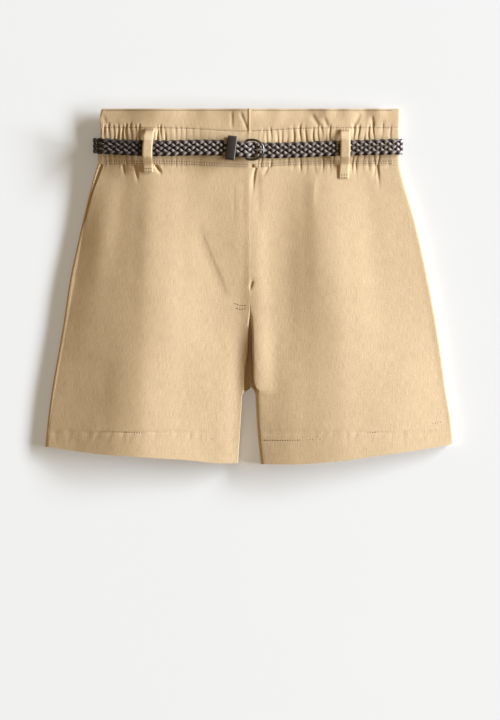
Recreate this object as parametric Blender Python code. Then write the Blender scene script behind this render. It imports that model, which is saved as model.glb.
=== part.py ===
"""Belted paper-bag shorts in cotton twill, laid flat on their back on a surface, front up.

+X is to the right of the photo, +Y from the hems to the waist, +Z up from the surface. The origin is
under the middle of the whole part. Lengths below are millimetres, turned into metres when a mesh is made.
Right and left in a name are the wearer's: the wearer's right is on -X.
"""
import math

import bmesh
import bpy
import numpy as np

MM = 0.001

# ---------------------------------------------------------------- driving dimensions (mm)
TOP_Y = 199.0            # top edge of the frill
CASING_TOP_Y = 176.6     # stitch line between the frill and the elastic casing
BAND_SEAM_Y = 135.8      # seam between the waistband and the shorts' body
CROTCH_Y = -112.0        # where the four panels meet
HEM_Y = -190.0           # the hem's nominal height, before its slant is added
HEM_DEPTH = 27.0         # turned-up hem
POCKET_END_Y = 64.0      # lower end of the slanted pocket mouth

SEAM_GAP = 0.3           # clearance between neighbouring pieces
CLOTH = 1.4              # twill with its seam allowances
HEM_CLOTH = 2.4          # twill turned up on itself
BAND_CLOTH = 2.0         # front waistband: double twill over elastic
BACK_BAND_CLOTH = 1.4    # the same, pressed flat under the front
FACING_CLOTH = 1.0       # one layer in the pocket's mouth
LOOP_CLOTH = 1.2         # folded strip of a belt loop
LIP = 1.1                # how far the lapped fly edge stands up

SIDE_ROLL = 8.0          # width over which each side rolls round from front to back
BAND_ROLL = 6.0          # the same for the waistband
FRONT_TOP_Z = 13.8       # crest of the front waistband
BACK_BAND_Z = 4.8        # underside of the back waistband, above the belt and its loops
BACK_RISE_Y = 85.0       # from here up the back lifts off the surface towards the waistband

BELT_WIDE = 18.5
BELT_THICK = 2.6
BELT_RELIEF = 0.45       # height of the plait's lobes
PLAIT_PITCH = 9.0        # one lobe to the next
BACK_BELT_Z = 2.8        # middle of the strap behind the back waistband
UNDER_BELT_Z = 16.5      # middle of the buckle end, on the front
RIGHT_BELT_Z = 15.4      # middle of the strap right of the buckle
OVER_BELT_Z = 19.5       # middle of the free end, on top of the buckle end

BAR_X = -3.5             # buckle's hinge bar
FRAME_LONG = 20.1        # hinge bar to outer bar
FRAME_HALF = 11.0        # half the frame's inner and outer middle height
FRAME_Y = 153.0          # middle of the frame
BAR_Z = 16.7             # hinge bar, round the strap's end
OUTER_BAR_Z = 20.4       # outer bar, on top of the strap
WIRE = 1.1               # radius of the frame's wire
PRONG = 0.7              # radius of the prong
PRONG_SLIT = (4.2, 10.2, 1.1)   # start, end and half width of the gap between strands
SLIT_Z = (8.0, 28.0)     # reach of the cut that opens it

KEEPER_X = -19.2
KEEPER_Y = 155.0
KEEPER_HALF = (5.2, 13.2)       # half its length along the strap and half its height across it
KEEPER_Z = (14.15, 22.45)       # under the buckle end and over the free end
KEEPER_WALL = 0.9
KEEPER_CORNER = 2.4
KEEPER_LEAN = 0.13       # sideways for each mm up

# Outline of the body: y, x.
RIGHT_OUTLINE = ((-179.0, -227.4), (-149.0, -225.0), (-113.0, -220.5), (-78.0, -214.5), (-42.0, -208.5),
                 (12.0, -200.5), (48.0, -193.0), (84.0, -184.5), (120.0, -176.0), (136.0, -170.5))
LEFT_OUTLINE = ((-175.0, 227.4), (-149.0, 225.0), (-113.0, 219.0), (-78.0, 214.5), (-42.0, 208.9),
                (12.0, 199.0), (48.0, 191.2), (84.0, 182.2), (120.0, 171.2), (136.0, 167.2))
# Centre seam, crotch corner and inner leg: y, x.
RIGHT_INNER = ((-197.5, -11.4), (-172.0, -9.3), (-140.0, -7.4), (-124.0, -6.4), (-119.5, -5.0),
               (-116.0, -1.0), (-112.0, 2.6), (-104.0, 1.55), (136.0, 1.55))
LEFT_INNER = ((-198.3, 14.2), (-172.0, 11.8), (-154.0, 10.0), (-124.0, 7.9), (-119.5, 7.5),
              (-116.0, 6.4), (-112.0, 3.0), (-104.0, 1.85), (136.0, 1.85))
# Lower edge of each leg: x, y.
RIGHT_HEM = ((-227.4, -179.0), (-171.0, -185.3), (-118.0, -191.7), (-70.0, -196.0), (-36.0, -198.0),
             (-9.0, -197.5))
LEFT_HEM = ((9.0, -198.3), (58.0, -199.0), (108.0, -194.0), (139.0, -189.5), (169.0, -185.0),
            (199.0, -180.5), (227.4, -175.0))
# Outline of the waistband: y, x.
BAND_RIGHT_OUTLINE = ((136.0, -168.0), (146.0, -167.2), (164.0, -166.0), (176.0, -165.2), (186.0, -166.4),
                      (199.0, -164.5))
BAND_LEFT_OUTLINE = ((136.0, 166.8), (160.0, 167.2), (176.0, 166.6), (186.0, 167.4), (199.0, 167.4))

# Lines that the front's height runs through, from the right side across to the left:
# x at the waist, x at the hem, height at the waist, at the hip and at the hem.
FOLD_LINES = (
    (-163.0, -218.0, 13.4, 7.6, 6.8),     # where the right side starts to roll
    (-140.0, -160.0, 13.7, 13.6, 14.6),   # right flank
    (-112.0, -123.0, 13.9, 17.4, 18.2),   # crest down the right leg
    (-58.0, -60.0, 13.8, 15.2, 15.0),     # inner half of the right leg
    (-12.0, -14.0, 13.8, 14.0, 12.2),     # beside the fly
    (14.0, 22.0, 13.8, 14.0, 13.4),       # beside the fly, on the left
    (38.0, 34.0, 13.8, 12.8, 14.6),       # trough down the left leg
    (64.0, 68.0, 13.8, 14.4, 16.6),       # its rising side
    (86.0, 108.0, 13.9, 16.4, 17.4),      # crest down the left leg
    (130.0, 158.0, 13.7, 12.8, 14.4),     # left flank
    (161.0, 218.0, 13.4, 10.2, 9.2),      # where the left side starts to roll
)
HIP_Y = 30.0

# Side seams, as the angle up the roll from its widest point: y, degrees.
RIGHT_SEAM = ((-180.0, 60.0), (-113.0, 44.0), (60.0, 34.0), (136.0, 30.0))
LEFT_SEAM = ((-180.0, -25.0), (-113.0, -18.0), (60.0, -12.0), (136.0, -10.0))
# Pocket mouths, on the same scale.
RIGHT_MOUTH = ((64.0, 38.0), (75.0, 56.0), (88.0, 69.0), (105.0, 72.0), (124.0, 82.0), (136.0, 75.0))
LEFT_MOUTH = ((64.0, -9.0), (75.0, 12.0), (105.0, 32.0), (136.0, 40.0))
SEAM_HALF_ANGLE = 2.0

# Gathers of the elastic casing: first x, last x, how many, depth.
RIGHT_GATHERS = ((-154.0, -117.0, 8, 1.0), (-104.0, -92.0, 3, 0.9), (-78.0, -30.0, 4, 0.4))
LEFT_GATHERS = ((14.0, 98.0, 14, 0.9), (118.0, 154.0, 6, 0.9))
BACK_GATHERS = ((-148.0, 148.0, 20, 0.5),)
# Soft waves of the frill: x of the crest, half width, height.
FRILL_WAVES = ((-112.0, 26.0, 1.9), (-46.0, 16.0, 0.7), (-8.0, 12.0, 0.6), (42.0, 9.0, 0.6),
               (84.0, 11.0, 1.2), (108.0, 8.0, 0.5), (140.0, 10.0, 0.8))

# Belt loops on the front: x at the top, middle and bottom, upper end, lower end, height over the belt.
LOOP_WIDE = 11.2
FRONT_LOOPS = {
    "loop_front_right": (-110.3, -113.0, -112.3, 177.0, 127.8, 21.5),
    "loop_front_left": (108.2, 108.3, 106.4, 176.0, 121.1, 17.4),
}
BACK_LOOPS = {"loop_back_right": -105.0, "loop_back_centre": 0.0, "loop_back_left": 105.0}

# Height of the belt's middle across the front: x, y.
BELT_Y = ((-174.0, 157.5), (-120.0, 154.8), (-30.0, 155.0), (-4.0, 153.4), (18.0, 152.4), (91.0, 154.4),
          (174.0, 156.6))

# colour, roughness, metallic
TWILL = ((0.60, 0.45, 0.28, 1.0), 0.85, 0.0)
BRAID = ((0.045, 0.030, 0.026, 1.0), 0.55, 0.0)
LEATHER = ((0.050, 0.033, 0.028, 1.0), 0.45, 0.0)
STEEL = ((0.62, 0.60, 0.57, 1.0), 0.25, 1.0)


# ---------------------------------------------------------------- curves and blends
def curve(table, t):
    """Smooth curve through a table's two columns, flat beyond its ends."""
    keys = [row[0] for row in table]
    values = [row[1] for row in table]
    t = min(max(t, keys[0]), keys[-1])
    slopes = np.gradient(values, keys)
    i = min(max(int(np.searchsorted(keys, t)) - 1, 0), len(keys) - 2)
    span = keys[i + 1] - keys[i]
    u = (t - keys[i]) / span
    start = (1 + 2 * u) * (1 - u) ** 2 * values[i] + u * (1 - u) ** 2 * span * slopes[i]
    end = u * u * (3 - 2 * u) * values[i + 1] + u * u * (u - 1) * span * slopes[i + 1]
    return float(start + end)


def polyline(table, t):
    """Straight lines through a table's two columns."""
    return float(np.interp(t, [row[0] for row in table], [row[1] for row in table]))


def ramp(t):
    """0 to 1, with a soft start and end."""
    t = min(max(t, 0.0), 1.0)
    return t * t * (3 - 2 * t)


def mix(a, b, t):
    return a + (b - a) * t


# ---------------------------------------------------------------- the laid body's form
def front_height(x, y):
    """Height of the front's outer face above the surface."""
    down = min(max((BAND_SEAM_Y - y) / (BAND_SEAM_Y - HEM_Y), 0.0), 1.0)
    row = []
    for waist_x, hem_x, waist_z, hip_z, hem_z in FOLD_LINES:
        if y > HIP_Y:
            z = mix(hip_z, waist_z, ramp((y - HIP_Y) / (BAND_SEAM_Y - HIP_Y)))
        else:
            z = mix(hip_z, hem_z, ramp((HIP_Y - y) / (HIP_Y - HEM_Y)))
        row.append((mix(waist_x, hem_x, down), z))
    return curve(row, x)


def back_floor(y):
    """Height of the back's underside: flat on the surface, lifted at the waist by the belt."""
    return BACK_BAND_Z * ramp((y - BACK_RISE_Y) / (BAND_SEAM_Y - BACK_RISE_Y))


def side_middle(side, y):
    """Height of the widest point of a side's roll."""
    laid = 3.6 if side < 0 else 4.6
    return mix(laid, (BACK_BAND_Z + FRONT_TOP_Z) / 2, ramp((y - BACK_RISE_Y) / (BAND_SEAM_Y - BACK_RISE_Y)))


def outline(side, y):
    return curve(RIGHT_OUTLINE if side < 0 else LEFT_OUTLINE, y)


def inner_edge(side, y):
    return polyline(RIGHT_INNER if side < 0 else LEFT_INNER, y)


def roll_point(side, y, degrees, inset):
    """Point on a side's roll: 90 degrees is its top, 0 its widest point, -90 its bottom."""
    angle = math.radians(degrees)
    edge = outline(side, y)
    middle = side_middle(side, y)
    x = edge - side * (SIDE_ROLL - (SIDE_ROLL - inset) * math.cos(angle))
    if degrees >= 0:
        outer_x = edge - side * SIDE_ROLL * (1 - math.cos(angle))
        z = middle + (front_height(outer_x, y) - middle - inset) * math.sin(angle)
    else:
        z = middle + (middle - back_floor(y) - inset) * math.sin(angle)
    return x, z


def seam_sink(y):
    """0 where the front is flat across the centre, 1 where it falls to the crotch."""
    return min(max((-5.0 - y) / (-5.0 - CROTCH_Y), 0.0), 1.0)


def inner_low(y):
    """Height of the front's inner edge at the crotch and down the inner leg."""
    return polyline(((-150.0, 5.0), (-119.5, 3.0), (CROTCH_Y, 2.1)), y)


def inner_roll(side, y):
    """Width of the inner roll of a front panel."""
    laid = 9.0 if side < 0 else 5.0
    return mix(laid, 8.0, ramp((CROTCH_Y - y) / 40.0))


def fly_lip(x, y):
    """The right front's edge stands up where it laps the left front."""
    return LIP * ramp((x + 6.5) / 8.0) * ramp((y + 14.0) / 16.0)


def front_point(side, column, y, inset):
    """Column -1 to 0 goes up the side's roll, 0 to 1 across the panel, 1 to 2 down its inner edge."""
    if column < 0:
        mouth = RIGHT_MOUTH if side < 0 else LEFT_MOUTH
        seam = RIGHT_SEAM if side < 0 else LEFT_SEAM
        start = curve(seam, y) + SEAM_HALF_ANGLE
        if y > POCKET_END_Y:
            start = max(start, curve(mouth, y))
        return roll_point(side, y, mix(90.0, start, -column), inset)
    inner = inner_edge(side, y)
    width = inner_roll(side, y)
    if column <= 1:
        x = mix(outline(side, y) - side * SIDE_ROLL, inner + side * width, column)
        lip = fly_lip(x, y) if side < 0 else 0.0
        return x, front_height(x, y) + lip - inset
    angle = math.radians(90.0 * (2 - column))
    sink = seam_sink(y)
    outer_x = inner + side * width * (1 - math.cos(angle))
    x = inner + side * (width - (width - inset * sink) * math.cos(angle))
    top = front_height(outer_x, y) + (fly_lip(outer_x, y) if side < 0 else 0.0)
    z = top - sink * (top - inner_low(y)) * (1 - math.sin(angle))
    return x, z - inset * (1 - sink + sink * math.sin(angle))


def back_point(side, column, y, inset):
    """The same columns on a back panel, from its side seam down, across and up the inner leg."""
    if column < 0:
        seam = curve(RIGHT_SEAM if side < 0 else LEFT_SEAM, y) - SEAM_HALF_ANGLE
        return roll_point(side, y, mix(-90.0, seam, -column), inset)
    inner = inner_edge(side, y)
    width = inner_roll(side, y)
    floor = back_floor(y)
    if column <= 1:
        return mix(outline(side, y) - side * SIDE_ROLL, inner + side * width, column), floor + inset
    angle = math.radians(90.0 * (2 - column))
    lift = min(max((CROTCH_Y - y) / 12.0, 0.0), 1.0)
    x = inner + side * (width - (width - inset * lift) * math.cos(angle))
    z = floor + lift * (inner_low(y) - SEAM_GAP - floor) * (1 - math.sin(angle))
    return x, z + inset * (1 - lift + lift * math.sin(angle))


def hem_shift(side, x, y):
    """How far the slanting hem moves a point that lies near it."""
    hem = RIGHT_HEM if side < 0 else LEFT_HEM
    return (curve(hem, x) - HEM_Y) * ramp((-100.0 - y) / 60.0)


# ---------------------------------------------------------------- meshes
def new_material(name, finish):
    colour, roughness, metallic = finish
    material = bpy.data.materials.new(name)
    material.use_nodes = True
    shader = material.node_tree.nodes["Principled BSDF"]
    shader.inputs["Base Color"].default_value = colour
    shader.inputs["Roughness"].default_value = roughness
    shader.inputs["Metallic"].default_value = metallic
    return material


def add_mesh(name, points, faces, finish):
    """One named object from points in millimetres, its faces turned outwards."""
    mesh = bpy.data.meshes.new(name)
    mesh.from_pydata([tuple(MM * c for c in p) for p in points], [], faces)
    work = bmesh.new()
    work.from_mesh(mesh)
    bmesh.ops.recalc_face_normals(work, faces=work.faces)
    bmesh.ops.triangulate(work, faces=work.faces)
    work.to_mesh(mesh)
    work.free()
    mesh.materials.append(new_material(name, finish))
    obj = bpy.data.objects.new(name, mesh)
    bpy.context.scene.collection.objects.link(obj)
    return obj


def add_wall(name, outer, inner, finish):
    """A closed wall between two grids of points with the same rows and columns."""
    rows = len(outer)
    cols = len(outer[0])
    points = [p for row in outer for p in row] + [p for row in inner for p in row]
    back = rows * cols

    def at(r, c):
        return r * cols + c

    faces = []
    for r in range(rows - 1):
        for c in range(cols - 1):
            quad = (at(r, c), at(r, c + 1), at(r + 1, c + 1), at(r + 1, c))
            faces.append(quad)
            faces.append(tuple(back + i for i in reversed(quad)))
    rim = [at(0, c) for c in range(cols)] + [at(r, cols - 1) for r in range(1, rows)]
    rim += [at(rows - 1, c) for c in range(cols - 2, -1, -1)] + [at(r, 0) for r in range(rows - 2, 0, -1)]
    for a, b in zip(rim, rim[1:] + rim[:1]):
        faces.append((b, a, back + a, back + b))
    return add_mesh(name, points, faces, finish)


def add_tube(name, rings, finish, closed=False):
    """A solid through closed rings of points, capped at both ends unless the rings close up."""
    count = len(rings[0])
    points = [p for ring in rings for p in ring]
    faces = []
    last = len(rings) if closed else len(rings) - 1
    for r in range(last):
        here = r * count
        there = ((r + 1) % len(rings)) * count
        for i in range(count):
            j = (i + 1) % count
            faces.append((here + i, here + j, there + j, there + i))
    if not closed:
        faces.append(tuple(range(count - 1, -1, -1)))
        faces.append(tuple((len(rings) - 1) * count + i for i in range(count)))
    return add_mesh(name, points, faces, finish)


def steps(start, end, count):
    return [mix(start, end, i / count) for i in range(count + 1)]


# ---------------------------------------------------------------- body panels
# Front and back share their rows, so that their seams run side by side.
PANEL_ROWS = [BAND_SEAM_Y - SEAM_GAP / 2, 126.0, 112.0, 98.0, BACK_RISE_Y, 74.0, POCKET_END_Y, 40.0, 12.0,
              -8.0, -34.0, -60.0, -84.0, -104.0, CROTCH_Y, -116.0, -119.5, -124.0, -144.0,
              HEM_Y + HEM_DEPTH, HEM_Y + HEM_DEPTH - 1.5, -177.0, HEM_Y]


def panel_grid(side, point, rows, columns, hemmed):
    """Grid of a panel's points; hemmed gives the plain and the turned-up wall, or 0 for the outer face."""
    plain, turned = hemmed
    grid = []
    for y in rows:
        inset = turned if y < HEM_Y + HEM_DEPTH - 1.0 else plain
        line = []
        for column in columns:
            x, z = point(side, column, y, 0.0)
            real_y = y + hem_shift(side, x, y)
            x, z = point(side, column, real_y, inset)
            line.append((x, real_y, z))
        grid.append(line)
    return grid


def add_front(name, side):
    columns = steps(-1, 0, 5) + steps(0, 1, 13)[1:] + steps(1, 2, 4)[1:]
    outer = panel_grid(side, front_point, PANEL_ROWS, columns, (0.0, 0.0))
    inner = panel_grid(side, front_point, PANEL_ROWS, columns, (CLOTH, HEM_CLOTH))
    return add_wall(name, outer, inner, TWILL)


def add_back(name, side):
    columns = steps(-1, 0, 6) + steps(0, 1, 3)[1:] + steps(1, 2, 4)[1:]
    outer = panel_grid(side, back_point, PANEL_ROWS, columns, (0.0, 0.0))
    inner = panel_grid(side, back_point, PANEL_ROWS, columns, (CLOTH, HEM_CLOTH))
    return add_wall(name, outer, inner, TWILL)


def add_pocket_facing(name, side):
    """The strip in a pocket's mouth, from the side seam to a little way under the front panel."""
    seam = RIGHT_SEAM if side < 0 else LEFT_SEAM
    mouth = RIGHT_MOUTH if side < 0 else LEFT_MOUTH
    under = CLOTH + SEAM_GAP + 0.1
    outer, inner = [], []
    for y in [row for row in PANEL_ROWS if row > POCKET_END_Y] + [POCKET_END_Y + 2.0]:
        first = curve(seam, y) + SEAM_HALF_ANGLE
        last = max(curve(mouth, y), first + 1.0)
        stops = [(first, 0.2), (mix(first, last, 0.5), 1.0), (last - 0.5, under)]
        stops += [(mix(last, 90.0, 0.5), under), (90.0, under)]
        for grid, wall in ((outer, 0.0), (inner, FACING_CLOTH)):
            line = []
            for degrees, inset in stops:
                x, z = roll_point(side, y, degrees, inset + wall)
                line.append((x, y, z))
            x = line[-1][0] - side * 8.0
            line.append((x, y, front_height(x, y) - under - wall))
            grid.append(line)
    return add_wall(name, outer, inner, TWILL)


# ---------------------------------------------------------------- waistband
BAND_ROWS = [BAND_SEAM_Y + SEAM_GAP / 2, 141.0, 156.0, 172.0, CASING_TOP_Y, 180.0, 188.0, TOP_Y]


def gather_columns(stretches):
    """x and depth of each column: a trough for each gather and two crests between troughs."""
    columns = []
    for first, last, count, depth in stretches:
        pitch = (last - first) / (count - 1)
        for i in range(count):
            x = first + i * pitch
            deep = depth * (0.75 + 0.25 * math.cos(2.4 * i + first))
            columns += [(x - pitch / 3, 0.0), (x, deep), (x + pitch / 3, 0.0)]
    columns.sort()
    return columns


def band_outline(side, y):
    return curve(BAND_RIGHT_OUTLINE if side < 0 else BAND_LEFT_OUTLINE, y)


def frill_height(x, y):
    up = ramp((y - CASING_TOP_Y) / (TOP_Y - CASING_TOP_Y))
    wave = sum(height * math.exp(-((x - crest) / half) ** 2) for crest, half, height in FRILL_WAVES)
    return wave * up


def gather_share(y):
    """Gathers are deep in the casing and run out in the frill."""
    if y < CASING_TOP_Y:
        return mix(0.6, 1.0, ramp((y - BAND_SEAM_Y) / 5.0))
    return mix(1.0, 0.15, ramp((y - CASING_TOP_Y) / 14.0))


def band_roll_point(side, y, degrees, inset):
    angle = math.radians(degrees)
    middle = (BACK_BAND_Z + FRONT_TOP_Z) / 2
    x = band_outline(side, y) - side * (BAND_ROLL - (BAND_ROLL - inset) * math.cos(angle))
    half = FRONT_TOP_Z - middle
    return x, middle + (half - inset) * math.sin(angle)


def add_front_band(name, side, stretches):
    """Half of the front waistband: elastic casing and frill."""
    seam = curve(RIGHT_SEAM if side < 0 else LEFT_SEAM, BAND_SEAM_Y) + SEAM_HALF_ANGLE
    inner_x = inner_edge(side, BAND_SEAM_Y)
    near_fly = [(inner_x + side * 7.0, 0.0), (inner_x + side * 3.0, 0.0), (inner_x, 0.0)]
    columns = sorted(gather_columns(stretches), reverse=side > 0) + near_fly
    outer, inner = [], []
    for y in BAND_ROWS:
        for grid, inset in ((outer, 0.0), (inner, BAND_CLOTH)):
            line = []
            for degrees in steps(seam, 90.0, 4):
                x, z = band_roll_point(side, y, degrees, inset)
                line.append((x, y, z + frill_height(x, y) * math.sin(math.radians(degrees))))
            for x, depth in columns:
                lip = fly_lip(x, y) if side < 0 else 0.0
                trough = 0.0 if inset else depth * gather_share(y)
                line.append((x, y, FRONT_TOP_Z + frill_height(x, y) + lip - inset - trough))
            grid.append(line)
    return add_wall(name, outer, inner, TWILL)


def add_back_band(name):
    """The whole back waistband, from one side seam under to the other, lifted by the belt."""
    outer, inner = [], []
    columns = gather_columns(BACK_GATHERS)
    for y in BAND_ROWS:
        for grid, inset in ((outer, 0.0), (inner, BACK_BAND_CLOTH)):
            right = curve(RIGHT_SEAM, BAND_SEAM_Y) - SEAM_HALF_ANGLE
            left = curve(LEFT_SEAM, BAND_SEAM_Y) - SEAM_HALF_ANGLE
            line = []
            for degrees in steps(right, -90.0, 6):
                x, z = band_roll_point(-1, y, degrees, inset)
                line.append((x, y, z))
            for x, depth in columns:
                lift = depth * gather_share(y) if inset else 0.0
                line.append((x, y, BACK_BAND_Z + inset + lift))
            for degrees in steps(-90.0, left, 4):
                x, z = band_roll_point(1, y, degrees, inset)
                line.append((x, y, z))
            grid.append(line)
    return add_wall(name, outer, inner, TWILL)


# ---------------------------------------------------------------- belt loops
def belt_middle_y(x):
    return curve(BELT_Y, x)


def add_front_loop(name, top_x, middle_x, bottom_x, top_y, bottom_y, bridge_z):
    """A strip from the casing's stitch line, over the belt, to the panel under the band."""
    belt_y = belt_middle_y(middle_x)
    reach = BELT_WIDE / 2
    stops = [top_y, mix(top_y, belt_y + reach, 0.45), belt_y + reach + 2.6, belt_y + reach,
             belt_y + 4.0, belt_y - 4.0, belt_y - reach, belt_y - reach - 2.6,
             mix(belt_y - reach, bottom_y, 0.45), mix(belt_y - reach, bottom_y, 0.75), bottom_y]
    x_line = ((bottom_y, bottom_x), (belt_y, middle_x), (top_y, top_x))
    outer, inner = [], []
    for y in stops:
        bridge = ramp((reach + 7.0 - abs(y - belt_y)) / 7.5)
        for grid, up in ((outer, LOOP_CLOTH), (inner, 0.0)):
            line = []
            for across in (-0.5, -0.17, 0.17, 0.5):
                x = curve(x_line, y) + across * LOOP_WIDE
                ground = front_height(x, y) + frill_height(x, y) + SEAM_GAP
                line.append((x, y, mix(ground, max(bridge_z, ground), bridge) + up))
            grid.append(line)
    return add_wall(name, outer, inner, TWILL)


def add_back_loop(name, middle_x):
    """A plain strip under the belt at the back; its outer face rests on the surface."""
    reach = BELT_WIDE / 2 + 1.5
    belt_y = mix(belt_middle_y(-174.0), belt_middle_y(174.0), 0.5)
    outer, inner = [], []
    for y in (177.0, 173.5, belt_y + reach, belt_y - reach, 139.0, 133.0, 126.0):
        under_belt = abs(y - belt_y) < reach + 0.1
        top = LOOP_CLOTH if under_belt else back_floor(y) - SEAM_GAP
        line = [(middle_x + across * LOOP_WIDE, y) for across in (-0.5, 0.0, 0.5)]
        outer.append([(x, y, top - LOOP_CLOTH) for x, y in line])
        inner.append([(x, y, top) for x, y in line])
    return add_wall(name, outer, inner, TWILL)


# ---------------------------------------------------------------- belt
def bend(middle_x, middle_z, half_x, half_z, start, end, count):
    """Points round an ellipse, in degrees."""
    turn = [math.radians(mix(start, end, i / count)) for i in range(count + 1)]
    return [(middle_x + half_x * math.cos(a), middle_z + half_z * math.sin(a)) for a in turn]


def belt_path():
    """Middle line of the whole strap, x and z, from the buckle round the back and over itself."""
    plain = [(BAR_X - 1.5, UNDER_BELT_Z)] + [(x, UNDER_BELT_Z) for x in steps(-20.0, -150.0, 7)]
    centre_z = (UNDER_BELT_Z + BACK_BELT_Z) / 2
    half_z = UNDER_BELT_Z - centre_z
    plain += bend(-160.0, centre_z, 9.0, half_z, 90.0, 270.0, 12)
    plain += [(x, BACK_BELT_Z) for x in steps(-130.0, 130.0, 10)]
    right_z = (RIGHT_BELT_Z + BACK_BELT_Z) / 2
    plain += bend(160.0, right_z, 11.7, RIGHT_BELT_Z - right_z, -90.0, 90.0, 12)
    shown = []
    count = round((160.0 + 160.0) / (PLAIT_PITCH / 4))
    for x in steps(160.0, -160.0, count)[1:]:
        shown.append((x, mix(RIGHT_BELT_Z, OVER_BELT_Z, ramp((14.0 - x) / 18.0))))
    over_half = OVER_BELT_Z - centre_z
    shown += bend(-160.0, centre_z, 12.7, over_half, 90.0, 205.0, 10)[1:]
    return plain, shown


def plait_relief(length, across):
    """Lobes in a zigzag: down the outer thirds of the strap one way, down its middle the other."""
    third = (across / BELT_WIDE + 0.5) * 3
    zigzag = abs(1 - third % 2)
    return BELT_RELIEF * math.cos(2 * math.pi * (length / PLAIT_PITCH + 0.5 * zigzag))


def add_belt_strap(name):
    plain, shown = belt_path()
    path = plain + shown
    half = BELT_WIDE / 2
    across = steps(half, -half, 6)
    rings = []
    length = 0.0
    for i, (x, z) in enumerate(path):
        before = path[max(i - 1, 0)]
        after = path[min(i + 1, len(path) - 1)]
        run = math.hypot(after[0] - before[0], after[1] - before[1])
        normal = ((after[1] - before[1]) / run, -(after[0] - before[0]) / run)
        length += math.hypot(x - before[0], z - before[1])
        front = z > (UNDER_BELT_Z + BACK_BELT_Z) / 2 or abs(x) > 160.0
        ends = (belt_middle_y(-174.0), belt_middle_y(174.0))
        y = belt_middle_y(x) if front else mix(ends[0], ends[1], (x + 174.0) / 348.0)
        ring = []
        for v in across:
            relief = plait_relief(length, v) if i >= len(plain) else 0.0
            out = BELT_THICK / 2 + relief - (0.5 if abs(v) == half else 0.0)
            ring.append((x + normal[0] * out, y + v, z + normal[1] * out))
        for v in (-half, half):
            inward = -BELT_THICK / 2
            ring.append((x + normal[0] * inward, y + v, z + normal[1] * inward))
        rings.append(ring)
    return add_tube(name, rings, BRAID)


def cut_prong_slit(strap):
    """Open the braid where the prong passes between its strands."""
    start, end, half = PRONG_SLIT
    middle_y = belt_middle_y((start + end) / 2)
    corners = ((start, -half), (end, -half), (end, half), (start, half))
    points = [(x, middle_y + y, z) for z in SLIT_Z for x, y in corners]
    faces = [(0, 3, 2, 1), (4, 5, 6, 7), (0, 1, 5, 4), (1, 2, 6, 5), (2, 3, 7, 6), (3, 0, 4, 7)]
    cutter = add_mesh("slit_cutter", points, faces, BRAID)
    cut = strap.modifiers.new("prong_slit", "BOOLEAN")
    cut.operation = "DIFFERENCE"
    cut.object = cutter
    bpy.context.view_layer.update()
    graph = bpy.context.evaluated_depsgraph_get()
    mesh = bpy.data.meshes.new_from_object(strap.evaluated_get(graph))
    strap.modifiers.clear()
    strap.data = mesh
    bpy.data.objects.remove(cutter)


def add_keeper(name):
    """Smooth leather ring round both layers of the strap, leaning a little to the left."""
    half_x, half_y = KEEPER_HALF
    low, high = KEEPER_Z
    rings = []
    for inset, end in ((0.0, -1), (0.0, 1), (KEEPER_WALL, 1), (KEEPER_WALL, -1)):
        ring = []
        radius = KEEPER_CORNER - inset
        for quarter, (sy, sz) in enumerate(((1, 1), (-1, 1), (-1, -1), (1, -1))):
            centre_y = sy * (half_y - KEEPER_CORNER)
            centre_z = (high if sz > 0 else low) - sz * KEEPER_CORNER
            for step in range(4):
                angle = math.radians(90.0 * quarter + 30.0 * step)
                y = centre_y + radius * math.cos(angle)
                x = KEEPER_X + end * half_x + KEEPER_LEAN * y
                ring.append((x, KEEPER_Y + y, centre_z + radius * math.sin(angle)))
        rings.append(ring)
    return add_tube(name, rings, LEATHER, closed=True)


def wire_rings(path, radius, sides, closed):
    """Round rings along a path of points, with an upright frame at each."""
    rings = []
    count = len(path)
    for i, point in enumerate(path):
        before = path[(i - 1) % count] if closed else path[max(i - 1, 0)]
        after = path[(i + 1) % count] if closed else path[min(i + 1, count - 1)]
        along = np.subtract(after, before)
        along = along / np.linalg.norm(along)
        upward = (0.0, 0.0, 1.0) if abs(along[2]) < 0.95 else (0.0, 1.0, 0.0)
        level = np.cross(along, upward)
        level = level / np.linalg.norm(level)
        upright = np.cross(level, along)
        ring = []
        for k in range(sides):
            angle = 2 * math.pi * k / sides
            ring.append(tuple(point + radius * (math.cos(angle) * level + math.sin(angle) * upright)))
        rings.append(ring)
    return rings


def add_buckle_frame(name):
    """D-shaped wire frame: straight hinge bar on the left, round outer bar on the right."""
    path = [(0.0, y) for y in steps(-FRAME_HALF + 4.0, FRAME_HALF - 4.0, 2)]
    corner = [math.radians(a) for a in (150.0, 120.0, 90.0)]
    path += [(4.0 + 4.0 * math.cos(a), FRAME_HALF - 4.0 + 4.0 * math.sin(a)) for a in corner]
    bow = [math.radians(a) for a in steps(75.0, -75.0, 12)]
    bow_x = 8.0
    path += [(bow_x + (FRAME_LONG - bow_x) * math.cos(a), FRAME_HALF * math.sin(a)) for a in bow]
    path += [(4.0 + 4.0 * math.cos(a), -FRAME_HALF + 4.0 - 4.0 * math.sin(a)) for a in reversed(corner)]
    tilt = (OUTER_BAR_Z - BAR_Z) / FRAME_LONG
    middle = [(BAR_X + x, FRAME_Y + y, BAR_Z + tilt * x) for x, y in path]
    return add_tube(name, wire_rings(middle, WIRE, 8, True), STEEL, closed=True)


def add_prong(name):
    """From beside the hinge bar, up through the braid, to lie on the outer bar."""
    outer_x = BAR_X + FRAME_LONG
    rest_z = OUTER_BAR_Z + WIRE + PRONG + SEAM_GAP
    side_y = belt_middle_y(8.0)
    route = [(BAR_X + WIRE + PRONG + 0.2, 16.0), (2.4, 15.92), (4.2, 15.4), (6.0, 16.0), (8.2, 17.7),
             (10.4, 19.5), (13.0, 21.2), (outer_x, rest_z), (outer_x + 1.4, rest_z - 0.2)]
    path = [(x, side_y, z) for x, z in route]
    return add_tube(name, wire_rings(path, PRONG, 8, False), STEEL)


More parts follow.
